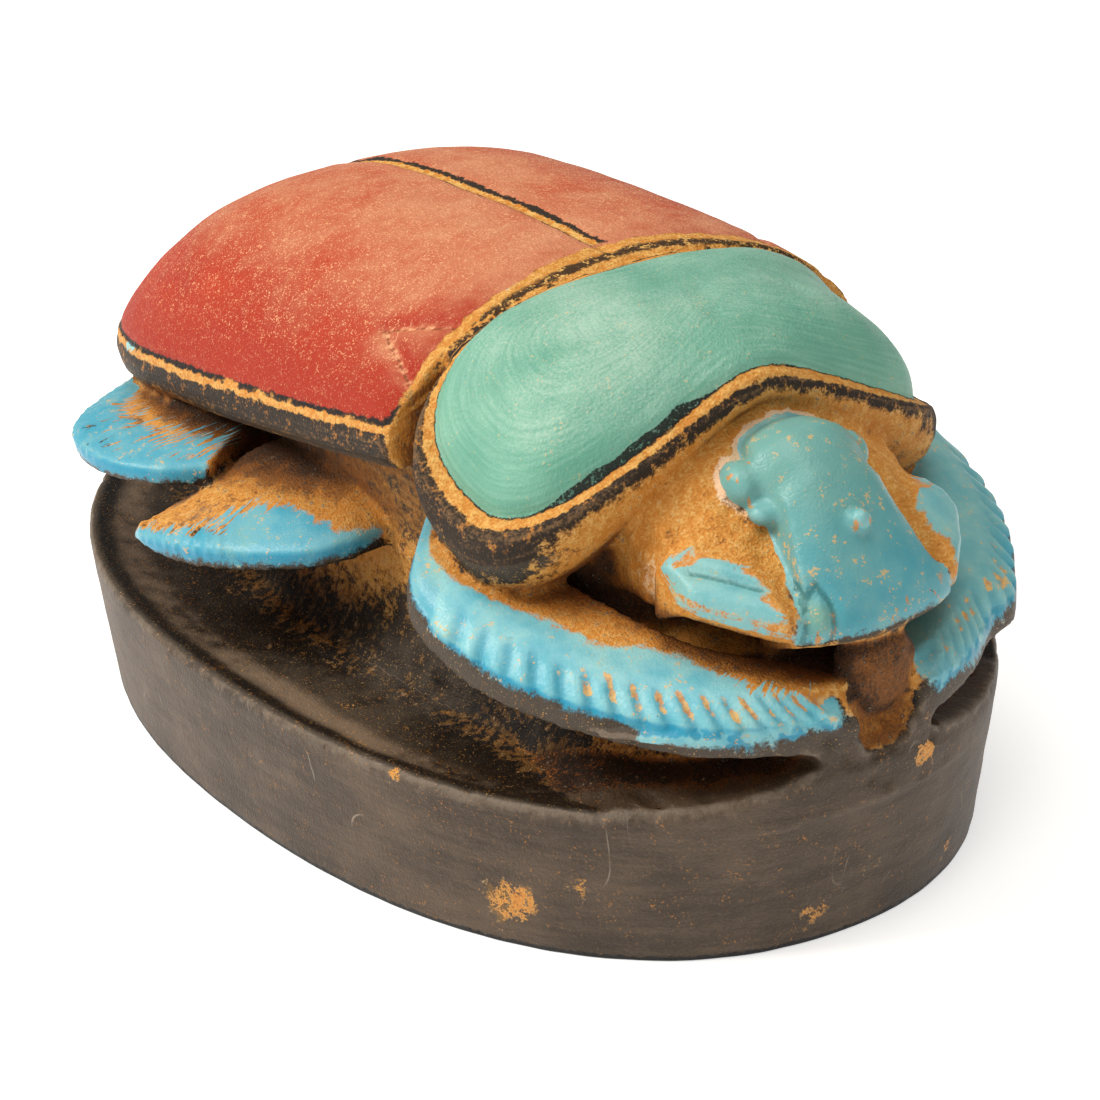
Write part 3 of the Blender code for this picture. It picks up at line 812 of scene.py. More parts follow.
def relief(place, points):
    """Height of the chisel work in mm along the surface's outward direction."""
    h = np.zeros(len(points))
    # Comb strokes on the front legs: steep behind, gentle ahead, and mere nicks towards the rear
    phase = comb_phase(place)
    stroke = np.where(phase > 0, bell(phase, 0.13), bell(phase, 0.36))
    h -= 0.62 * stroke * comb_reach(place)
    nick = bell(phase, 0.16) * bell(place.across - 0.2, 0.9) * ramp(place.along, 35, 3)
    h -= 0.5 * nick * place.on("front_leg")
    h += 0.55 * ridges(place, "hind_leg", 1.7, 13, 6.5)
    h += 0.50 * ridges(place, "middle_leg", 1.6, 18, 4.0)
    # The groove between the wing cases and the cut lines along their border
    case = place.on("case")
    upper = case * ramp(place.across, 1, 2)
    h -= 0.5 * bell(place.x, 0.8) * upper * (place.y > -19)
    h -= 0.22 * bell(place.across - 0.1, 0.35) * case
    h -= 0.18 * bell(place.across + 1.35, 0.35) * case
    # The shield's border: cut lines on both sides of its ochre ledge
    shield = place.on("shield")
    h -= 0.25 * bell(place.across - 0.15, 0.4) * shield
    h -= 0.22 * bell(place.across + 1.6, 0.4) * shield
    h -= 0.5 * bell(mark_distance(place), 0.55)
    for x, y, radius in DIMPLES:
        h -= 0.28 * bell(np.hypot(place.x - x, place.y - y), radius) * shield
    # Uneven hand finish
    beetle = ~place.on("plinth", "pillar")
    h += 0.10 * lump(points, 7.0, 1) * beetle
    h += 0.045 * lump(points, 2.6, 2)
    h += 0.05 * lump(points, 3.2, 3) * shield * (place.across > 0)
    crumbly = place.on("trunk", "chest", "neck") | (place.on("pillar") & (place.across > 0.5))
    h += 0.20 * lump(points, 1.4, 4) * crumbly
    # Nicks along the plinth's edge
    edge = bell(place.across + 0.2, 0.9) * place.on("plinth", "pillar") * (place.z > 15)
    h -= 0.45 * edge * ramp(lump(points, 2.2, 5), 0.62, 0.3)
    return h


# Values for the paint

def hollowness(points, normals, tree, rays=28, reach=0.016):
    """Share of the half sphere over each point that other parts close off, from 0 to 1."""
    spiral = np.arange(rays) + 0.5
    height = np.sqrt(1 - spiral / rays)
    angle = spiral * math.pi * (3 - math.sqrt(5))
    flat = np.sqrt(1 - height**2)
    local = np.column_stack([flat * np.cos(angle), flat * np.sin(angle), height])
    helper = np.where(np.abs(normals[:, 2:]) < 0.9, [[0, 0, 1.0]], [[1.0, 0, 0]])
    first = np.cross(helper, normals)
    first /= np.linalg.norm(first, axis=1)[:, None]
    second = np.cross(normals, first)
    closed = np.zeros(len(points))
    lift = 0.0007  # the rays start this far off the skin, in metres
    start = (points + normals * lift).tolist()
    for ray in local:
        directions = (first * ray[0] + second * ray[1] + normals * ray[2]).tolist()
        for index, (origin, direction) in enumerate(zip(start, directions)):
            hit = tree.ray_cast(origin, direction, reach)
            if hit[0] is not None:
                closed[index] += 1 - 0.6 * hit[3] / reach
    return closed / rays


def convexity(points, normals, edges):
    """How strongly the surface bends outward at each point, in 1/mm."""
    first, second = edges.T
    span = points[second] - points[first]
    bend = ((normals[second] - normals[first]) * span).sum(axis=1) / ((span**2).sum(axis=1) + 1e-12)
    total = np.bincount(first, weights=bend, minlength=len(points))
    total += np.bincount(second, weights=bend, minlength=len(points))
    count = np.bincount(edges.ravel(), minlength=len(points))
    return total / np.maximum(count, 1) * MM


NOWHERE = -6.0  # distance inside a paint, for points far outside it

# Limits of the turquoise on the legs in mm: run along the leg from its front end, and reach over the top
FRONT_RUN = (0, 10, 18, 24, 28, 32, 40, 50)
FRONT_REACH = (2.8, 4.9, 8.4, 9.5, 6.6, 7.7, 6.9, 4.2)
MIDDLE_RUN = (0, 4, 7, 10, 15, 19, 23, 27, 34)
MIDDLE_REACH = (0.4, 0.8, 2.0, 5.0, 8.0, 7.0, 4.0, 2.0, 1.6)
HIND_REACH = 8.2
FAR_REACH = 12.0
# How far the turquoise comes down the front legs' outer face
FRONT_FACE_RUN = (0, 4, 8, 11, 16, 25, 45)
FRONT_FACE = (0.5, 1.0, 2.0, 2.6, 1.8, 1.1, 0.7)


def by_form(place, other, **values):
    """For each point the value named after its form, or the other value."""
    found = np.zeros(len(place.x)) + other
    for form, value in values.items():
        found = np.where(place.on(form), value, found)
    return found


def strip_depth(across, face, reach):
    """Signed distance in mm inside a strip from down a leg's face to its reach over the top."""
    return np.minimum(across + face, 0.8 * (reach - across))


def leg_blue(place):
    """Signed distance in mm inside the turquoise of the legs."""
    across, along, near = place.across, place.along, place.x < 0
    reach = np.where(near, np.interp(along, FRONT_RUN, FRONT_REACH), FAR_REACH)
    front = strip_depth(across, np.interp(along, FRONT_FACE_RUN, FRONT_FACE), reach)
    middle = strip_depth(across, 1.5, np.interp(along, MIDDLE_RUN, MIDDLE_REACH))
    hind = np.minimum(strip_depth(across, 1.6, HIND_REACH), 3 * along - 0.6)
    # The leg tips run on over the pillar
    near_tip = np.minimum(place.z - 24.2, -3.6 - place.x)
    far_tip = np.minimum(place.z - 21.4, place.x - 5.6)
    tip = np.minimum(np.where(near, near_tip, far_tip), 1.5 - across * 3)
    tip = np.where(place.y < -55, tip, NOWHERE)
    return by_form(place, NOWHERE, front_leg=front, middle_leg=middle, hind_leg=hind, pillar=tip)


def blue_depth(place):
    """Signed distance in mm inside the turquoise of the legs, the head, the cheeks, the eyes and the bump."""
    across = place.across
    cheek = np.minimum(np.minimum(across + 2.3, 4.6 - across), np.abs(place.x) - 9.8)
    return np.maximum(by_form(place, leg_blue(place), head=across + 1.2, cheek=cheek, knob=2.0), NOWHERE)


def streaky(place):
    """How much the turquoise is broken up by lengthwise strokes, from 0 to 1."""
    across, along = place.across, place.along
    near_tip = 0.45 * ramp(along, 17, -4) * ramp(across, 2, 1.5)
    return by_form(
        place,
        0,
        hind_leg=ramp(across, 0.4, 1.2) * ramp(along, 27, -5),
        middle_leg=0.8 * ramp(along, 13, 6) * ramp(across, 0.2, 2),
        front_leg=np.where(place.x > 0, 0.2, near_tip),
        cheek=0.3,
    )


def greenish(place):
    """Where the turquoise is greener and duller: skull, cheeks, the cut arch and the far front leg."""
    skull = 0.6 * ramp(place.z, 37, 8)
    scar = np.clip(1.8 - np.hypot(place.x + 6.9, place.z - 34.8), 0, 1)
    far = 0.35 * ramp(place.x, 0, 4) * np.clip((place.across - 0.3) / 1.5, 0.3, 1)
    return by_form(place, 0, head=np.maximum(skull, scar), knob=skull, cheek=0.3, front_leg=far)


def hazed(place):
    """Closeness to the painted highlight on the shield's near lobe, from 0 to 1."""
    return bell(place.x + 15, 9) * bell(place.y + 36, 7) * place.on("shield")


# Traces of light blue left beside the red: place in the beetle's frame and radius, in mm
BLUE_TRACES = (
    (-11.2, -18.2, 55.0, 1.0),
    (-12.8, -18.7, 54.5, 1.1),
    (-14.4, -19.1, 54.0, 1.0),
    (-29.8, 34.5, 37.4, 0.9),
    (-30.0, 32.0, 37.9, 0.9),
    (-29.8, -7.0, 44.8, 0.9),
    (-29.6, -9.0, 45.0, 0.7),
)
# Spots of ochre on the wall and the rim, in the same way
OCHRE_SPOTS = (
    (-31.6, -44.5, 5.0, 2.3),
    (-30.4, -46.4, 5.6, 1.6),
    (-27.2, -51.1, 8.3, 1.1),
    (-7.5, -61.4, 3.2, 1.4),
    (-5.0, -62.2, 3.0, 1.0),
    (-1.2, -62.4, 7.5, 1.0),
    (4.7, -63.2, 17.5, 1.5),
    (10.8, -59.4, 3.1, 1.2),
    (-37.1, -24.6, 16.3, 1.0),
    (-36.8, -27.7, 16.4, 0.9),
    (-37.3, -34.6, 16.4, 0.8),
    (34.0, -30.0, 9.0, 1.8),
    (26.0, 46.0, 6.0, 2.0),
    (-12.0, 60.0, 10.0, 1.6),
    (-38.5, 20.0, 6.5, 1.3),
)


def spotted(place, spots):
    """Closeness to placed spots, from 0 outside them to 1 at their middles."""
    amount = np.zeros(len(place.x))
    for x, y, z, radius in spots:
        away = np.sqrt((place.x - x) ** 2 + (place.y - y) ** 2 + (place.z - z) ** 2)
        amount = np.maximum(amount, 1 - away / (1.6 * radius))
    return amount


CASE_HALF_WIDTH = 27.6  # of the wing cases by the shield, in mm


def from_middle(place):
    """Share of the way from the middle of the wing cases to their sides, from 0 to 1."""
    return np.clip(np.abs(place.x) / CASE_HALF_WIDTH, 0, 1)


def red_front(place):
    """Where the red begins behind the shield, along the beetle's length."""
    return -16.3 - 4.4 * from_middle(place) ** 0.8


def band_place(place):
    """Place across the band between the red and the shield: 0 at the red, 1 at the shield."""
    share = (red_front(place) - place.y) / (5.6 - 2.6 * from_middle(place))
    on_case = place.on("case") & (place.across > 0.8)
    on_ledge = place.on("shield") & (place.across < 0) & (place.across > -1.6) & (place.y > -30)
    return np.where(on_case, share, np.where(on_ledge, 1.0, NOWHERE))


def ochre_amount(place):
    """How much ochre pigment has gathered, from 0 to about 1."""
    low = ramp(place.z, 18, 8)
    foot = (np.abs(place.x / 27) ** 2.4 + np.abs(place.y / 53) ** 2.4) ** (1 / 2.4)
    below_arch = ramp(place.y, -40, -4) * ramp(place.across, -2.6, -1.4)
    amount = by_form(
        place,
        0,
        plinth=np.clip(0.55 - 2.6 * (foot - 1), 0.02, 0.55) * (place.across > 3),
        trunk=0.4 + 0.35 * low,
        chest=0.35 + 0.6 * low,
        neck=1.0,
        front_leg=1.0,
        middle_leg=0.85,
        hind_leg=0.8,
        head=0.6,
        cheek=1.0,
        knob=0.5,
        shield=0.42 + 0.6 * below_arch,
        case=np.where(place.y < red_front(place) - 0.4, 0.95, 0.32),
        pillar=np.where(place.across > 0.3, 0.9, 0),
    )
    under = place.on("front_leg", "middle_leg", "hind_leg") & (place.across < -0.5)
    return np.where(under, np.clip(0.12 - 0.1 * (place.across + 3), 0, 0.6), amount)


def bare_amount(place):
    """1 where the black has been rubbed off to grey-brown stone: the wall and the flush front."""
    return by_form(place, 0, plinth=ramp(place.across, 0, -0.5), pillar=ramp(place.across, 0.7, -0.5))


def painted_shade_depth(place):
    """How much painted shade darkens the ochre beyond what its hollows give, from -0.3, where it is painted
    lighter, to 0.8: under the head, the cheeks and the wing cases, low by the plinth and on the legs' inner
    parts.
    """
    root = 0.30 * ramp(place.z, 35.5, -2)
    front_root = np.where(place.y < -53, 0.42 * ramp(place.z, 35, -2), 0)
    lit = np.where(place.y > -53, 0.24, 0)
    foot = 0.15 * ramp(place.z, 22, -4)
    inner = 0.34 * ramp(place.across, 6, 5)
    return by_form(
        place,
        0,
        pillar=np.where(place.across > 0.3, 0.42, 0),
        neck=root + front_root - lit,
        cheek=root,
        chest=front_root + foot - lit,
        trunk=front_root + foot + 0.4 * ramp(place.z, 26, 6),
        middle_leg=inner,
        hind_leg=inner,
        plinth=-0.3,
    )


def pale_amount(place):
    """The pale spot by the near cheek, from 0 to 1."""
    return spotted(place, ((-16.5, -46.5, 35.5, 1.875),)) * place.on("neck", "chest")


def write_values(mesh, edges, rounds, **fields):
    """Named values at the mesh's points, each averaged with its neighbours' for a number of rounds."""
    for name, values in fields.items():
        attribute = mesh.attributes.new(name, "FLOAT", "POINT")
        attribute.data.foreach_set("value", evened(values, edges, rounds).astype(np.float32))


def steer_paint(skin, work):
    """The values that steer the paint, written at the points of the finished skin."""
    points, normals, edges = points_of(skin), normals_of(skin), edges_of(skin)
    place = Places(work, points)
    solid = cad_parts["scarab_statue"].data
    solid.calc_loop_triangles()
    corners = [tuple(triangle.vertices) for triangle in solid.loop_triangles]
    tree = BVHTree.FromPolygons(points_of(solid).tolist(), corners, all_triangles=True)
    case = np.where(place.on("case"), place.across, NOWHERE)
    shield = np.where(place.on("shield"), place.across, NOWHERE)
    red = np.where(place.on("case"), np.minimum(case, place.y - red_front(place)), NOWHERE)
    write_values(skin, edges, 0, across=place.across, along=place.along, length=place.y, middle=place.x,
                 hazed=hazed(place), mark=mark_distance(place), comb=np.abs(comb_phase(place)))
    write_values(skin, edges, 1, spot=spotted(place, OCHRE_SPOTS), trace=spotted(place, BLUE_TRACES))
    # The convexity steers rubbed wear on the stone and the rims, and a painted highlight along the turquoise
    # edges
    write_values(skin, edges, 2, case=case, shield=shield, bare=bare_amount(place), streaky=streaky(place),
                 combed=comb_fill(place), band=band_place(place), front_leg=place.on("front_leg"),
                 worn=convexity(points, normals, edges))
    write_values(skin, edges, 3, red=red, green=shield, head=place.on("head", "knob"),
                 rear_leg=place.on("middle_leg", "hind_leg"), deep=painted_shade_depth(place), pale=pale_amount(place),
                 hollow=hollowness(points, normals, tree))
    write_values(skin, edges, 4, blue=blue_depth(place), greenish=greenish(place))
    write_values(skin, edges, 6, ochre=ochre_amount(place), upward=normals[:, 2])


def carve():
    """The finished skin with its chisel work and the values for its paint."""
    work = all_forms()
    skin = with_modifier(work.mesh("forms"), "REMESH", mode="VOXEL", voxel_size=VOXEL)
    skin = with_modifier(skin, "SMOOTH", factor=0.5, iterations=SOFTENING)
    points = points_of(skin)
    height = evened(relief(Places(work, points), points), edges_of(skin), 1)
    points += normals_of(skin) * height[:, None] * MM
    points[:, 2] = np.maximum(points[:, 2], -SPARE * PLINTH_HEIGHT)
    move_points(skin, points)
    whole = sum(len(face.vertices) - 2 for face in skin.polygons)
    skin = with_modifier(skin, "DECIMATE", ratio=TRIANGLES / whole)
    flatten_underside(skin)
    move_points(skin, np.clip(points_of(skin), np.array(LOW), np.array(HIGH)))
    steer_paint(skin, work)
    return skin


# Materials

def linear(red, green, blue):
    """A colour given as 0 to 255 display values, as linear light."""
    values = []
    for value in (red, green, blue):
        v = value / 255
        values.append(v / 12.92 if v <= 0.04045 else ((v + 0.055) / 1.055) ** 2.4)
    return (*values, 1.0)


class Graph:
    """Short names for the nodes of one material."""

    def __init__(self, name):
        self.material = bpy.data.materials.new(name)
        self.material.use_nodes = True
        self.nodes = self.material.node_tree.nodes
        self.links = self.material.node_tree.links
        self.shader = self.nodes["Principled BSDF"]
        self.spot = self.nodes.new("ShaderNodeTexCoord").outputs["Object"]
        split = self.nodes.new("ShaderNodeSeparateXYZ")
        self.put(split.inputs[0], self.spot)
        self.height = self.times(split.outputs[2], 1 / MM)

    def put(self, socket, value):
        if isinstance(value, bpy.types.NodeSocket):
            self.links.new(value, socket)
        else:
            socket.default_value = value

    def math(self, operation, *values, clamp=False):
        node = self.nodes.new("ShaderNodeMath")
        node.operation = operation
        node.use_clamp = clamp
        for socket, value in zip(node.inputs, values):
            self.put(socket, value)
        return node.outputs[0]

    def times(self, first, *others):
        for other in others:
            first = self.math("MULTIPLY", first, other)
        return first

    def total(self, *terms):
        """The sum of the terms. A term in brackets stands for the product of what it holds."""
        first, *others = (self.times(*term) if isinstance(term, tuple) else term for term in terms)
        for other in others:
            first = self.math("ADD", first, other)
        return first

    def most(self, a, b):
        return self.math("MAXIMUM", a, b)

    def apart(self, value, middle=0.0):
        """How far a value lies from a middle, either way."""
        return self.math("ABSOLUTE", self.math("SUBTRACT", value, middle))

    def value(self, name):
        """A value that was written at the mesh's points."""
        node = self.nodes.new("ShaderNodeAttribute")
        node.attribute_type = "GEOMETRY"
        node.attribute_name = name
        return node.outputs["Fac"]

    def step(self, value, low, high):
        """0 below low, 1 above high, smooth between. With low above high it falls instead."""
        node = self.nodes.new("ShaderNodeMapRange")
        node.interpolation_type = "SMOOTHSTEP"
        self.put(node.inputs["Value"], value)
        start, end = (0.0, 1.0) if low < high else (1.0, 0.0)
        ends = {"From Min": min(low, high), "From Max": max(low, high), "To Min": start, "To Max": end}
        for name, number in ends.items():
            node.inputs[name].default_value = number
        return node.outputs["Result"]

    def texture(self, place, detail, roughness):
        """Random values from about -1 to 1, with lumps one unit apart."""
        node = self.nodes.new("ShaderNodeTexNoise")
        self.put(node.inputs["Vector"], place)
        for name, number in (("Scale", 1), ("Detail", detail), ("Roughness", roughness)):
            node.inputs[name].default_value = number
        return self.math("MULTIPLY_ADD", node.outputs["Fac"], 4.0, -2.0)

    def noise(self, size, detail=2.0, roughness=0.5, stretch=(1, 1, 1), seed=0.0):
        """Random values with lumps of the given size in mm, squeezed along each axis by the stretch."""
        place = self.nodes.new("ShaderNodeMapping")
        self.put(place.inputs["Vector"], self.spot)
        place.inputs["Scale"].default_value = tuple(s / (size * MM) for s in stretch)
        place.inputs["Location"].default_value = (seed, seed * 1.7, seed * 2.3)
        return self.texture(place.outputs[0], detail, roughness)

    def streaks(self, across, along, across_size, along_size, seed=0.0):
        """Random streaks that run along a form's edge."""
        place = self.nodes.new("ShaderNodeCombineXYZ")
        self.put(place.inputs[0], self.times(across, 1 / across_size))
        self.put(place.inputs[1], self.times(along, 1 / along_size))
        place.inputs[2].default_value = seed
        return self.texture(place.outputs[0], 3, 0.5)

    def mix(self, share, first, second):
        """Two colours mixed: the first at share 0, the second at share 1."""
        node = self.nodes.new("ShaderNodeMix")
        node.data_type = "RGBA"
        for index, value in ((0, share), (6, first), (7, second)):
            self.put(node.inputs[index], value)
        return node.outputs[2]

    def blend(self, share, first, second):
        """Two numbers mixed in the same way."""
        node = self.nodes.new("ShaderNodeMix")
        for index, value in ((0, share), (2, first), (3, second)):
            self.put(node.inputs[index], value)
        return node.outputs[0]

    def washes(self, colour, *layers):
        """Paints laid over a colour in turn, each given as the paint and the factors of its share."""
        for paint, *share in layers:
            colour = self.mix(self.times(*share), colour, paint)
        return colour


BLACK = linear(17, 13, 10)
DISH_GREY = linear(74, 64, 53)
DISH_PAINTED_SHEEN = linear(122, 104, 86)
RIM_BLACK = linear(44, 33, 23)
RIM_RUBBED = linear(124, 94, 62)
WALL_DARK = linear(60, 47, 34)
WALL_GREY = linear(94, 77, 60)
SCRATCH = linear(176, 160, 142)
OCHRE = linear(202, 130, 48)
PALE_OCHRE = linear(230, 180, 100)
PALE_RUB = linear(238, 206, 172)
BROWN = linear(112, 62, 24)
DARK_BROWN = linear(52, 34, 20)
RED = linear(180, 56, 23)
DEEP_RED = linear(162, 38, 12)
CHALK = linear(242, 182, 134)
GREEN = linear(130, 184, 162)
DEEP_GREEN = linear(98, 160, 138)
GREEN_SHEEN_AND_DUST = linear(196, 214, 198)
BLUE = linear(92, 176, 194)
DEEP_BLUE = linear(30, 142, 176)
PALE_BLUE = linear(152, 206, 208)
HEAD_BLUE = linear(58, 142, 154)
CUT_BLUE = linear(44, 98, 96)
SEA_GREEN = linear(122, 168, 150)


class Grain:
    """The random values that all layers of the paint share."""

    def __init__(self, g):
        self.fine = g.noise(0.28, 2, 0.6, seed=1)
        self.small = g.noise(0.9, 3, 0.6, seed=2)
        self.medium = g.noise(2.6, 4, 0.6, seed=3)
        self.broad = g.noise(9.0, 3, 0.5, seed=4)
        self.ragged = g.total((self.small, 0.16), (self.fine, 0.10))
        specks = g.step(g.total(self.fine, (self.small, 0.4)), 0.55, 0.75)
        self.gold = g.times(specks, g.step(self.medium, -0.2, 0.5))


def stone_layer(g, n):
    """The grey-brown wall with its level streaks and a painted contact shadow along its foot, and the black
    dish with painted shade in its hollows and a painted sheen.
    """
    level = g.noise(9.0, 5, 0.75, stretch=(1, 1, 7), seed=5)
    tone = g.total((level, 0.6), (n.broad, 0.6), (n.fine, 0.35))
    scratch = g.step(g.apart(g.noise(8.0, 1, 0.5, stretch=(1.2, 1.2, 0.7), seed=6)), 0.03, 0.0)
    rubbed = g.step(g.noise(7.0, 2, 0.5, seed=7), 0.3, 0.9)
    worn = g.step(g.total(g.value("worn"), (n.small, 0.2)), 0.15, 0.6)
    wall = g.washes(
        g.mix(g.step(tone, -0.8, 0.8), WALL_DARK, WALL_GREY),
        (SCRATCH, scratch, rubbed, 0.7),
        (OCHRE, n.gold, 0.55),
        (SCRATCH, worn, g.step(g.height, 5, 9), 0.25),
        # Black along the wall's foot, below about 0.6 mm: a painted contact shadow
        (BLACK, g.step(g.total(g.height, (n.small, 0.2)), 0.6, 0.3)),
    )
    across = g.value("across")
    # Painted shade: the dish is grey where it lies open, and stays black where hollowness is high and along a
    # band just inside the rim
    unshaded_dish = g.step(g.total(g.value("hollow"), (n.medium, 0.12)), 0.36, 0.04)
    unshaded_dish = g.times(unshaded_dish, g.step(g.height, 12, 14))
    dish = g.washes(
        BLACK,
        (DISH_GREY, unshaded_dish, g.step(g.apart(across, 1.6), 0.6, 1.6)),
        # A painted sheen: a lighter ring on the open dish, a few mm inside the rim
        (DISH_PAINTED_SHEEN, unshaded_dish, g.step(g.apart(g.total(across, (n.broad, 0.8)), 4.6), 3.0, 0.5)),
        (OCHRE, n.gold, 0.6),
        (PALE_OCHRE, g.step(g.noise(0.2, 1, 0.5, seed=14), 0.75, 0.9), 0.6),
    )
    return g.mix(g.step(g.total(g.value("bare"), (n.ragged, 0.5)), 0.3, 0.7), dish, wall)


def rim_layer(g, n, colour):
    """The black rims under the wing cases and round the shield, rubbed lengthwise."""
    inside = g.most(g.value("case"), g.value("shield"))
    brushed = g.streaks(g.value("across"), g.value("middle"), 0.6, 6.0, seed=9.0)
    rub = g.total((n.small, 0.5), (n.fine, 0.6), (brushed, 0.6), (g.value("worn"), 0.9))
    patch = g.step(g.total(n.small, (n.fine, 0.5), (n.medium, 0.6)), 0.35, 0.8)
    rim = g.washes(
        g.mix(g.times(g.step(rub, 0.0, 0.95), 0.75), RIM_BLACK, RIM_RUBBED),
        (OCHRE, patch, g.step(inside, -4.8, -2.2), 0.6),
        (OCHRE, n.gold, 0.7),
        (DARK_BROWN, g.step(g.total(inside, (n.medium, 1.4)), -4.2, -5.4), 0.5),
    )
    return g.mix(g.step(inside, -5.8, -5.0), colour, rim)


def ochre_layer(g, n, colour):
    """Ochre pigment in the hollows, with black crumbs; painted shade browns and blackens it where it lies
    hollow or deep.
    """
    hollow = g.value("hollow")
    low = g.step(g.height, 18.5, 17.0)
    cloud = g.total((n.medium, 0.28), (n.small, 0.22), (n.fine, 0.14), (low, n.small, 0.3))
    amount = g.total((g.value("ochre"), 1.25), (hollow, 1.1), cloud)
    spot = g.total(g.value("spot"), (n.small, 0.3), (n.fine, 0.15))
    fuzz = g.noise(0.45, 3, 0.7, stretch=(1.5, 1.5, 0.3), seed=11)
    # How deep the painted shade lies: hollowness plus the painted shade depth written at the points, with
    # some grain
    deep = g.total(hollow, g.value("deep"), (n.medium, 0.16), (fuzz, 0.10), (n.fine, 0.12))
    crumbs = g.total(n.small, (n.fine, 0.7), (low, 0.9), (low, n.medium, 0.5), (deep, 0.8))
    by_head = g.times(g.step(g.value("blue"), -5.8, -3.5), g.step(g.height, 40.5, 43.0))
    pale = g.total(g.most(g.value("pale"), by_head), (n.small, 0.3), (n.fine, 0.3))
    grain = g.total((n.small, 0.8), (n.medium, 0.6), n.fine)
    tone = g.washes(
        g.mix(g.step(grain, -0.7, 1.6), OCHRE, PALE_OCHRE),
        # Painted shade: brown, then dark brown, or black near the plinth, where hollowness and shade depth
        # add up
        (BROWN, g.step(deep, 0.32, 0.66), 0.85),
        (g.mix(low, DARK_BROWN, BLACK), g.step(deep, 0.62, 0.95), 0.85),
        # Black crumbs of the ochre, made thicker where the painted shade lies deep
        (BLACK, g.step(crumbs, 0.95, 1.25), 0.8),
        (PALE_RUB, g.step(pale, 0.15, 0.75), 0.85),
    )
    return g.mix(g.most(g.step(amount, 0.82, 1.18), g.step(spot, 0.38, 0.5)), colour, tone)


def line_layer(g, n, colour):
    """The ochre lines round the wing cases and the shield, and the band between them."""
    case = g.value("case")
    line = g.mix(g.step(g.total(n.small, n.fine), -0.8, 1.2), OCHRE, PALE_OCHRE)
    on_case = g.apart(g.total(case, (n.ragged, 0.8), (n.medium, 0.4), (n.broad, 0.35)), -0.72)
    on_shield = g.apart(g.total(g.value("shield"), (n.ragged, 1.2)), -0.75)
    mask = g.most(g.step(g.total(on_case, (n.small, 0.16)), 0.6, 0.4), g.step(on_shield, 0.85, 0.6))
    rubbed_off = g.step(g.total(n.medium, (n.small, 0.7), (n.fine, 0.4)), 0.7, 0.95)
    colour = g.mix(g.math("SUBTRACT", mask, g.times(rubbed_off, 0.8), clamp=True), colour, line)

    band = g.total(g.value("band"), (n.ragged, 0.55))
    unbroken = g.step(g.total(n.small, (n.fine, 0.8)), 0.75, 0.2)
    groove = g.times(g.step(g.apart(band, 0.5), 0.24, 0.1), unbroken)
    low_end = g.step(g.total(case, (n.small, 1.2)), 7.0, 2.5)
    granules = g.times(g.step(g.total(n.small, (n.fine, 0.9)), 0.1, 0.4), low_end, 0.8)
    dark = g.times(g.most(groove, granules), g.step(case, -1.0, 0.5), 0.92)
    return g.mix(g.step(band, -0.2, 0.0), colour, g.mix(dark, line, BLACK))


def blue_layer(g, n, colour):
    """Turquoise on the head and the legs, with ochre left in the strokes of the comb, painted shade on the
    legs' outer faces and in the strokes, and a painted highlight along convex edges.
    """
    across, along, head, comb = (g.value(name) for name in ("across", "along", "head", "comb"))
    stroke = g.streaks(g.total(along, (across, 0.5)), across, 0.5, 3.5, seed=5.0)
    broken = g.times(g.value("streaky"), g.total(stroke, -0.35), 4.0)
    amount = g.total(g.value("blue"), (n.medium, 0.45), (n.small, 0.35), (n.fine, 0.30), broken)
    mask = g.step(amount, -0.2, 0.5)
    stroke_shade = g.times(g.step(comb, 0.3, 0.05), g.step(across, 4.2, 2.6), g.value("front_leg"))
    grime = g.total((n.broad, 0.5), (n.medium, 0.5), (n.fine, 0.5))
    specks = g.total((n.fine, 0.7), (n.medium, 0.6), (n.small, 0.9), (head, 0.14))
    smear = g.total(g.noise(1.3, 2, 0.6, stretch=(1.6, 1, 0.5), seed=17), (n.small, 0.5))
    nick = g.step(g.noise(1.1, 3, 0.6, stretch=(1, 1, 1.8), seed=12), 0.85, 0.95)
    tone = g.washes(
        g.mix(g.step(g.total(n.medium, n.broad), -1.4, 1.4), BLUE, PALE_BLUE),
        # Deeper blue down the legs' outer faces: painted shade on the sides turned from the light
        (DEEP_BLUE, g.step(across, 0.3, -0.5), g.step(along, 0.1, 0.5), 0.85),
        (HEAD_BLUE, head, 0.6),
        (DEEP_BLUE, g.value("rear_leg"), 0.5),
        # Deeper blue in the comb strokes: painted shade in the grooves
        (DEEP_BLUE, stroke_shade, 0.4),
        (SEA_GREEN, g.value("greenish")),
        # Paler blue along convex edges: a painted highlight
        (PALE_BLUE, g.step(g.value("worn"), 0.3, 0.9), 0.4),
        (SEA_GREEN, g.step(grime, 0.1, 0.9), 0.45),
        (PALE_OCHRE, g.step(specks, 0.74, 0.94), 0.65),
        (OCHRE, g.step(smear, 0.45, 0.75), g.step(across, 2.6, 0.6), head, 0.8),
        (RIM_BLACK, nick, g.step(g.apart(across), 2.4, 1.4)),
    )
    in_stroke = g.times(g.step(comb, 0.38, 0.05), g.value("combed"))
    fill = g.step(g.total(in_stroke, (n.medium, 0.55), (n.small, 0.35)), 0.62, 0.85)
    cut = g.step(g.total(g.value("mark"), (n.ragged, 0.8)), 0.45, 0.1)
    return g.washes(
        colour,
        (tone, mask),
        (g.mix(g.step(n.small, -0.4, 0.5), OCHRE, PALE_OCHRE), fill, 0.85),
        (CUT_BLUE, cut, mask, 0.6),
        (PALE_BLUE, g.step(g.total(g.value("trace"), (n.small, 0.35)), 0.35, 0.5)),
    )


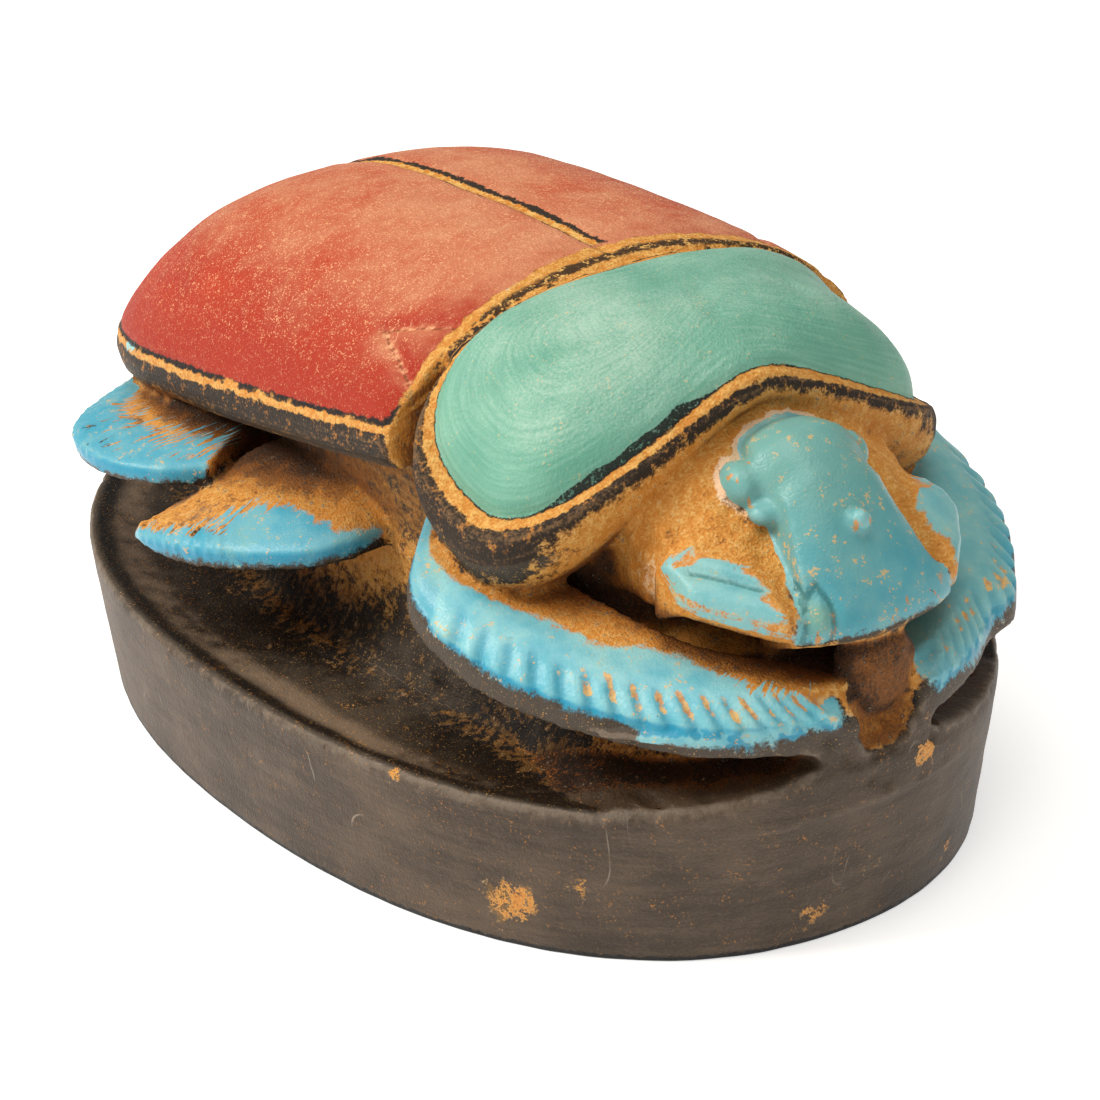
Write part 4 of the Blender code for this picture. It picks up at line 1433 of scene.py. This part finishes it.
def green_layer(g, n, colour):
    """Green on the shield, hazed over its upward-facing top with painted sheen and dust, with a painted
    highlight on its near lobe, and with strokes that follow its outline.
    """
    green = g.total(g.value("green"), (n.ragged, 0.7))
    # A black strip lies inside the ochre line where the near lobe rises towards the arch
    rise = g.step(g.apart(g.value("middle"), -15.0), 9.5, 4.5)
    strip = g.total((rise, g.step(g.value("length"), -37.0, -39.0), 0.75), 0.12)
    outline = g.math("SUBTRACT", strip, g.apart(g.total(green, (strip, -0.7))))
    rubbed = g.step(g.total(n.small, (n.fine, 0.9)), 0.1, 0.8)
    brush = g.streaks(g.value("across"), g.value("along"), 0.5, 7.0, seed=3.0)
    cloud = g.total((n.broad, 0.3), (n.fine, 0.35), (brush, 0.1))
    # Paler towards the upward-facing top and on the near lobe: painted sheen and a painted highlight, laid
    # with some dust
    haze = g.total((g.value("upward"), 0.5), (g.value("hazed"), 0.35), cloud)
    tone = g.washes(
        g.mix(g.step(g.total(brush, (n.broad, 0.8)), -1.6, 1.6), DEEP_GREEN, GREEN),
        (GREEN_SHEEN_AND_DUST, g.step(haze, 0.2, 1.3), 0.55),
        (PALE_OCHRE, g.step(g.total(n.fine, (n.medium, 0.6)), 0.8, 1.0), 0.5),
    )
    on_strip = g.step(g.total(outline, (n.small, 0.16)), 0.0, 0.14)
    return g.washes(colour, (tone, g.step(green, 0.05, 0.25)), (BLACK, on_strip, g.blend(rubbed, 0.95, 0.45)))


def red_layer(g, n, colour):
    """Red on the wing cases: deep along the border, speckled over the top, and chalky over the upward-facing
    top, where painted sheen is laid with chalk dust.
    """
    red = g.total(g.value("red"), (n.ragged, 1.3))
    outline = g.step(g.apart(g.total(red, (n.medium, 0.25))), 0.5, 0.25)
    unbroken = g.step(g.total(n.broad, n.medium), -0.9, -0.3)
    low_edge = g.step(g.value("case"), 3.2, 1.2)
    depth = g.total(g.value("red"), (n.broad, 2.5))
    # Paler chalk towards the upward-facing top: painted sheen laid with chalk dust
    haze = g.total(g.value("upward"), (n.broad, 0.12), (n.medium, 0.08))
    specks = g.total(g.noise(0.21, 2, 0.6, seed=15), (n.small, 0.35), (haze, 0.2))
    cut = g.total(g.value("mark"), (n.ragged, 1.2))
    tone = g.washes(
        g.mix(g.step(g.total(n.broad, (n.medium, 0.6)), -1.3, 1.3), RED, DEEP_RED),
        (DEEP_RED, g.step(depth, 9.0, 1.0), 0.8),
        (CHALK, g.step(haze, 0.68, 1.2), 0.55),
        (CHALK, g.step(specks, 0.5, 0.75), g.blend(g.step(depth, 0.0, 9.0), 0.3, 0.75)),
        (CHALK, g.step(cut, 0.6, 0.3), g.step(n.small, -0.4, 1.2)),
        (BROWN, g.step(cut, 0.2, 0.0), 0.75),
    )
    # The ochre line between the wing cases, with black beside it
    on_top = g.step(g.value("red"), 0.4, 1.0)
    seam = g.total(g.value("middle"), (n.ragged, 1.2))
    beside = g.step(g.apart(g.total(seam, (n.medium, 0.4)), 0.2), 1.0, 0.8)
    return g.washes(
        colour,
        (BLACK, outline, unbroken, low_edge, 0.92),
        (tone, g.step(red, 0.1, 0.35)),
        (RIM_BLACK, beside, on_top),
        (g.mix(g.step(n.small, -0.5, 0.5), OCHRE, PALE_OCHRE), g.step(g.apart(seam), 0.62, 0.45), on_top),
    )


DULL, GLOSSY = 0.7, 0.32  # roughness of the bare stone and ochre, and of the turquoise
COARSE, SMOOTH = 0.9, 0.25  # strength of their grain
GRAIN_HEIGHT = 0.00014


def painted_stone():
    g = Graph("worn_painted_stone")
    n = Grain(g)
    colour = stone_layer(g, n)
    for layer in (rim_layer, ochre_layer, line_layer, blue_layer, green_layer, red_layer):
        colour = layer(g, n, colour)
    gloss = g.step(g.value("blue"), -0.3, 0.5)
    gloss = g.most(gloss, g.times(g.step(g.value("green"), 0, 0.4), 0.7))
    gloss = g.most(gloss, g.times(g.step(g.value("ochre"), 0.5, 0.2), 0.55))
    bump = g.nodes.new("ShaderNodeBump")
    bump.inputs["Distance"].default_value = GRAIN_HEIGHT
    g.put(bump.inputs["Strength"], g.blend(gloss, COARSE, SMOOTH))
    g.put(bump.inputs["Height"], g.total((n.fine, 0.5), (n.small, 0.5)))
    inputs = g.shader.inputs
    g.put(inputs["Base Color"], colour)
    g.put(inputs["Specular IOR Level"], 0.3)
    g.put(inputs["Roughness"], g.total(g.blend(gloss, DULL, GLOSSY), (n.fine, 0.06)))
    g.put(inputs["Normal"], bump.outputs[0])
    return g.material


def plain_floor():
    g = Graph("pale_floor")
    settings = {"Base Color": linear(240, 240, 240), "Roughness": 0.8, "Emission Color": (1, 1, 1, 1),
                "Emission Strength": 0.5}
    for name, value in settings.items():
        g.put(g.shader.inputs[name], value)
    return g.material


# Studio

# The photograph's viewpoint: directions in degrees, lengths in metres
VIEW_AZIMUTH = -30.617
VIEW_ELEVATION = 25.475
VIEW_ROLL = -1.887
VIEW_DISTANCE = 0.32852
AIM_HEIGHT = 0.025
AIM_RIGHT = 0.003084
AIM_DOWN = 0.007747
SENSOR = 36  # width of the sensor and the lens, both in mm
LENS = 98.05


def view_axes(azimuth, elevation, roll=0):
    """Right, up and backward directions of a camera or light that looks at the object."""
    a, e, r = (math.radians(v) for v in (azimuth, elevation, roll))
    back = Vector((math.sin(a) * math.cos(e), -math.cos(a) * math.cos(e), math.sin(e)))
    level = Vector((math.cos(a), math.sin(a), 0))
    upward = back.cross(level)
    right = math.cos(r) * level + math.sin(r) * upward
    up = -math.sin(r) * level + math.cos(r) * upward
    return right, up, back


def set_up(name, data, axes, place):
    """Puts a camera or a light into the scene."""
    thing = bpy.data.objects.new(name, data)
    thing.matrix_world = Matrix.Translation(place) @ Matrix(axes).transposed().to_4x4()
    bpy.context.scene.collection.objects.link(thing)
    return thing


def camera():
    """The photograph's viewpoint."""
    right, up, back = axes = view_axes(VIEW_AZIMUTH, VIEW_ELEVATION, VIEW_ROLL)
    aim = Vector((BEETLE_SHIFT, WIDEST, AIM_HEIGHT)) + right * AIM_RIGHT - up * AIM_DOWN
    data = bpy.data.cameras.new("camera")
    data.sensor_width = SENSOR
    data.lens = LENS
    data.clip_start = 0.01
    bpy.context.scene.camera = set_up("camera", data, axes, aim + back * VIEW_DISTANCE)


def soft_light(name, azimuth, elevation, size, power, colour):
    """A square soft light aimed at the object."""
    axes = view_axes(azimuth, elevation)
    data = bpy.data.lights.new(name, "AREA")
    data.size = size
    data.energy = power
    data.color = colour
    distance = 0.8
    set_up(name, data, axes, Vector((0, 0, 0.02)) + axes[2] * distance)


def studio():
    """A white room with a strong light from the left and a softer one from above."""
    scene = bpy.context.scene
    scene.view_settings.view_transform = "Standard"
    world = bpy.data.worlds.new("white_room")
    world.use_nodes = True
    background = world.node_tree.nodes["Background"].inputs
    background["Color"].default_value = (1, 0.98, 0.95, 1)
    background["Strength"].default_value = 0.27
    scene.world = world
    soft_light("key_light", -112, 44, 0.3, 4.9, (1, 0.95, 0.88))
    soft_light("top_light", -20, 80, 0.5, 3.2, (1, 0.96, 0.9))
    just_below = -0.0001
    bpy.ops.mesh.primitive_plane_add(size=6, location=(0, 0, just_below))
    floor = bpy.context.object
    floor.name = "floor"
    floor.data.materials.append(plain_floor())


def main():
    camera()
    studio()
    skin = carve()
    skin.name = "scarab_carving"
    skin.shade_smooth()
    skin.materials.clear()
    skin.materials.append(painted_stone())
    piece = bpy.data.objects.new("scarab_carving", skin)
    bpy.context.scene.collection.objects.link(piece)
    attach(piece, "root")
    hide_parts("scarab_statue")


main()
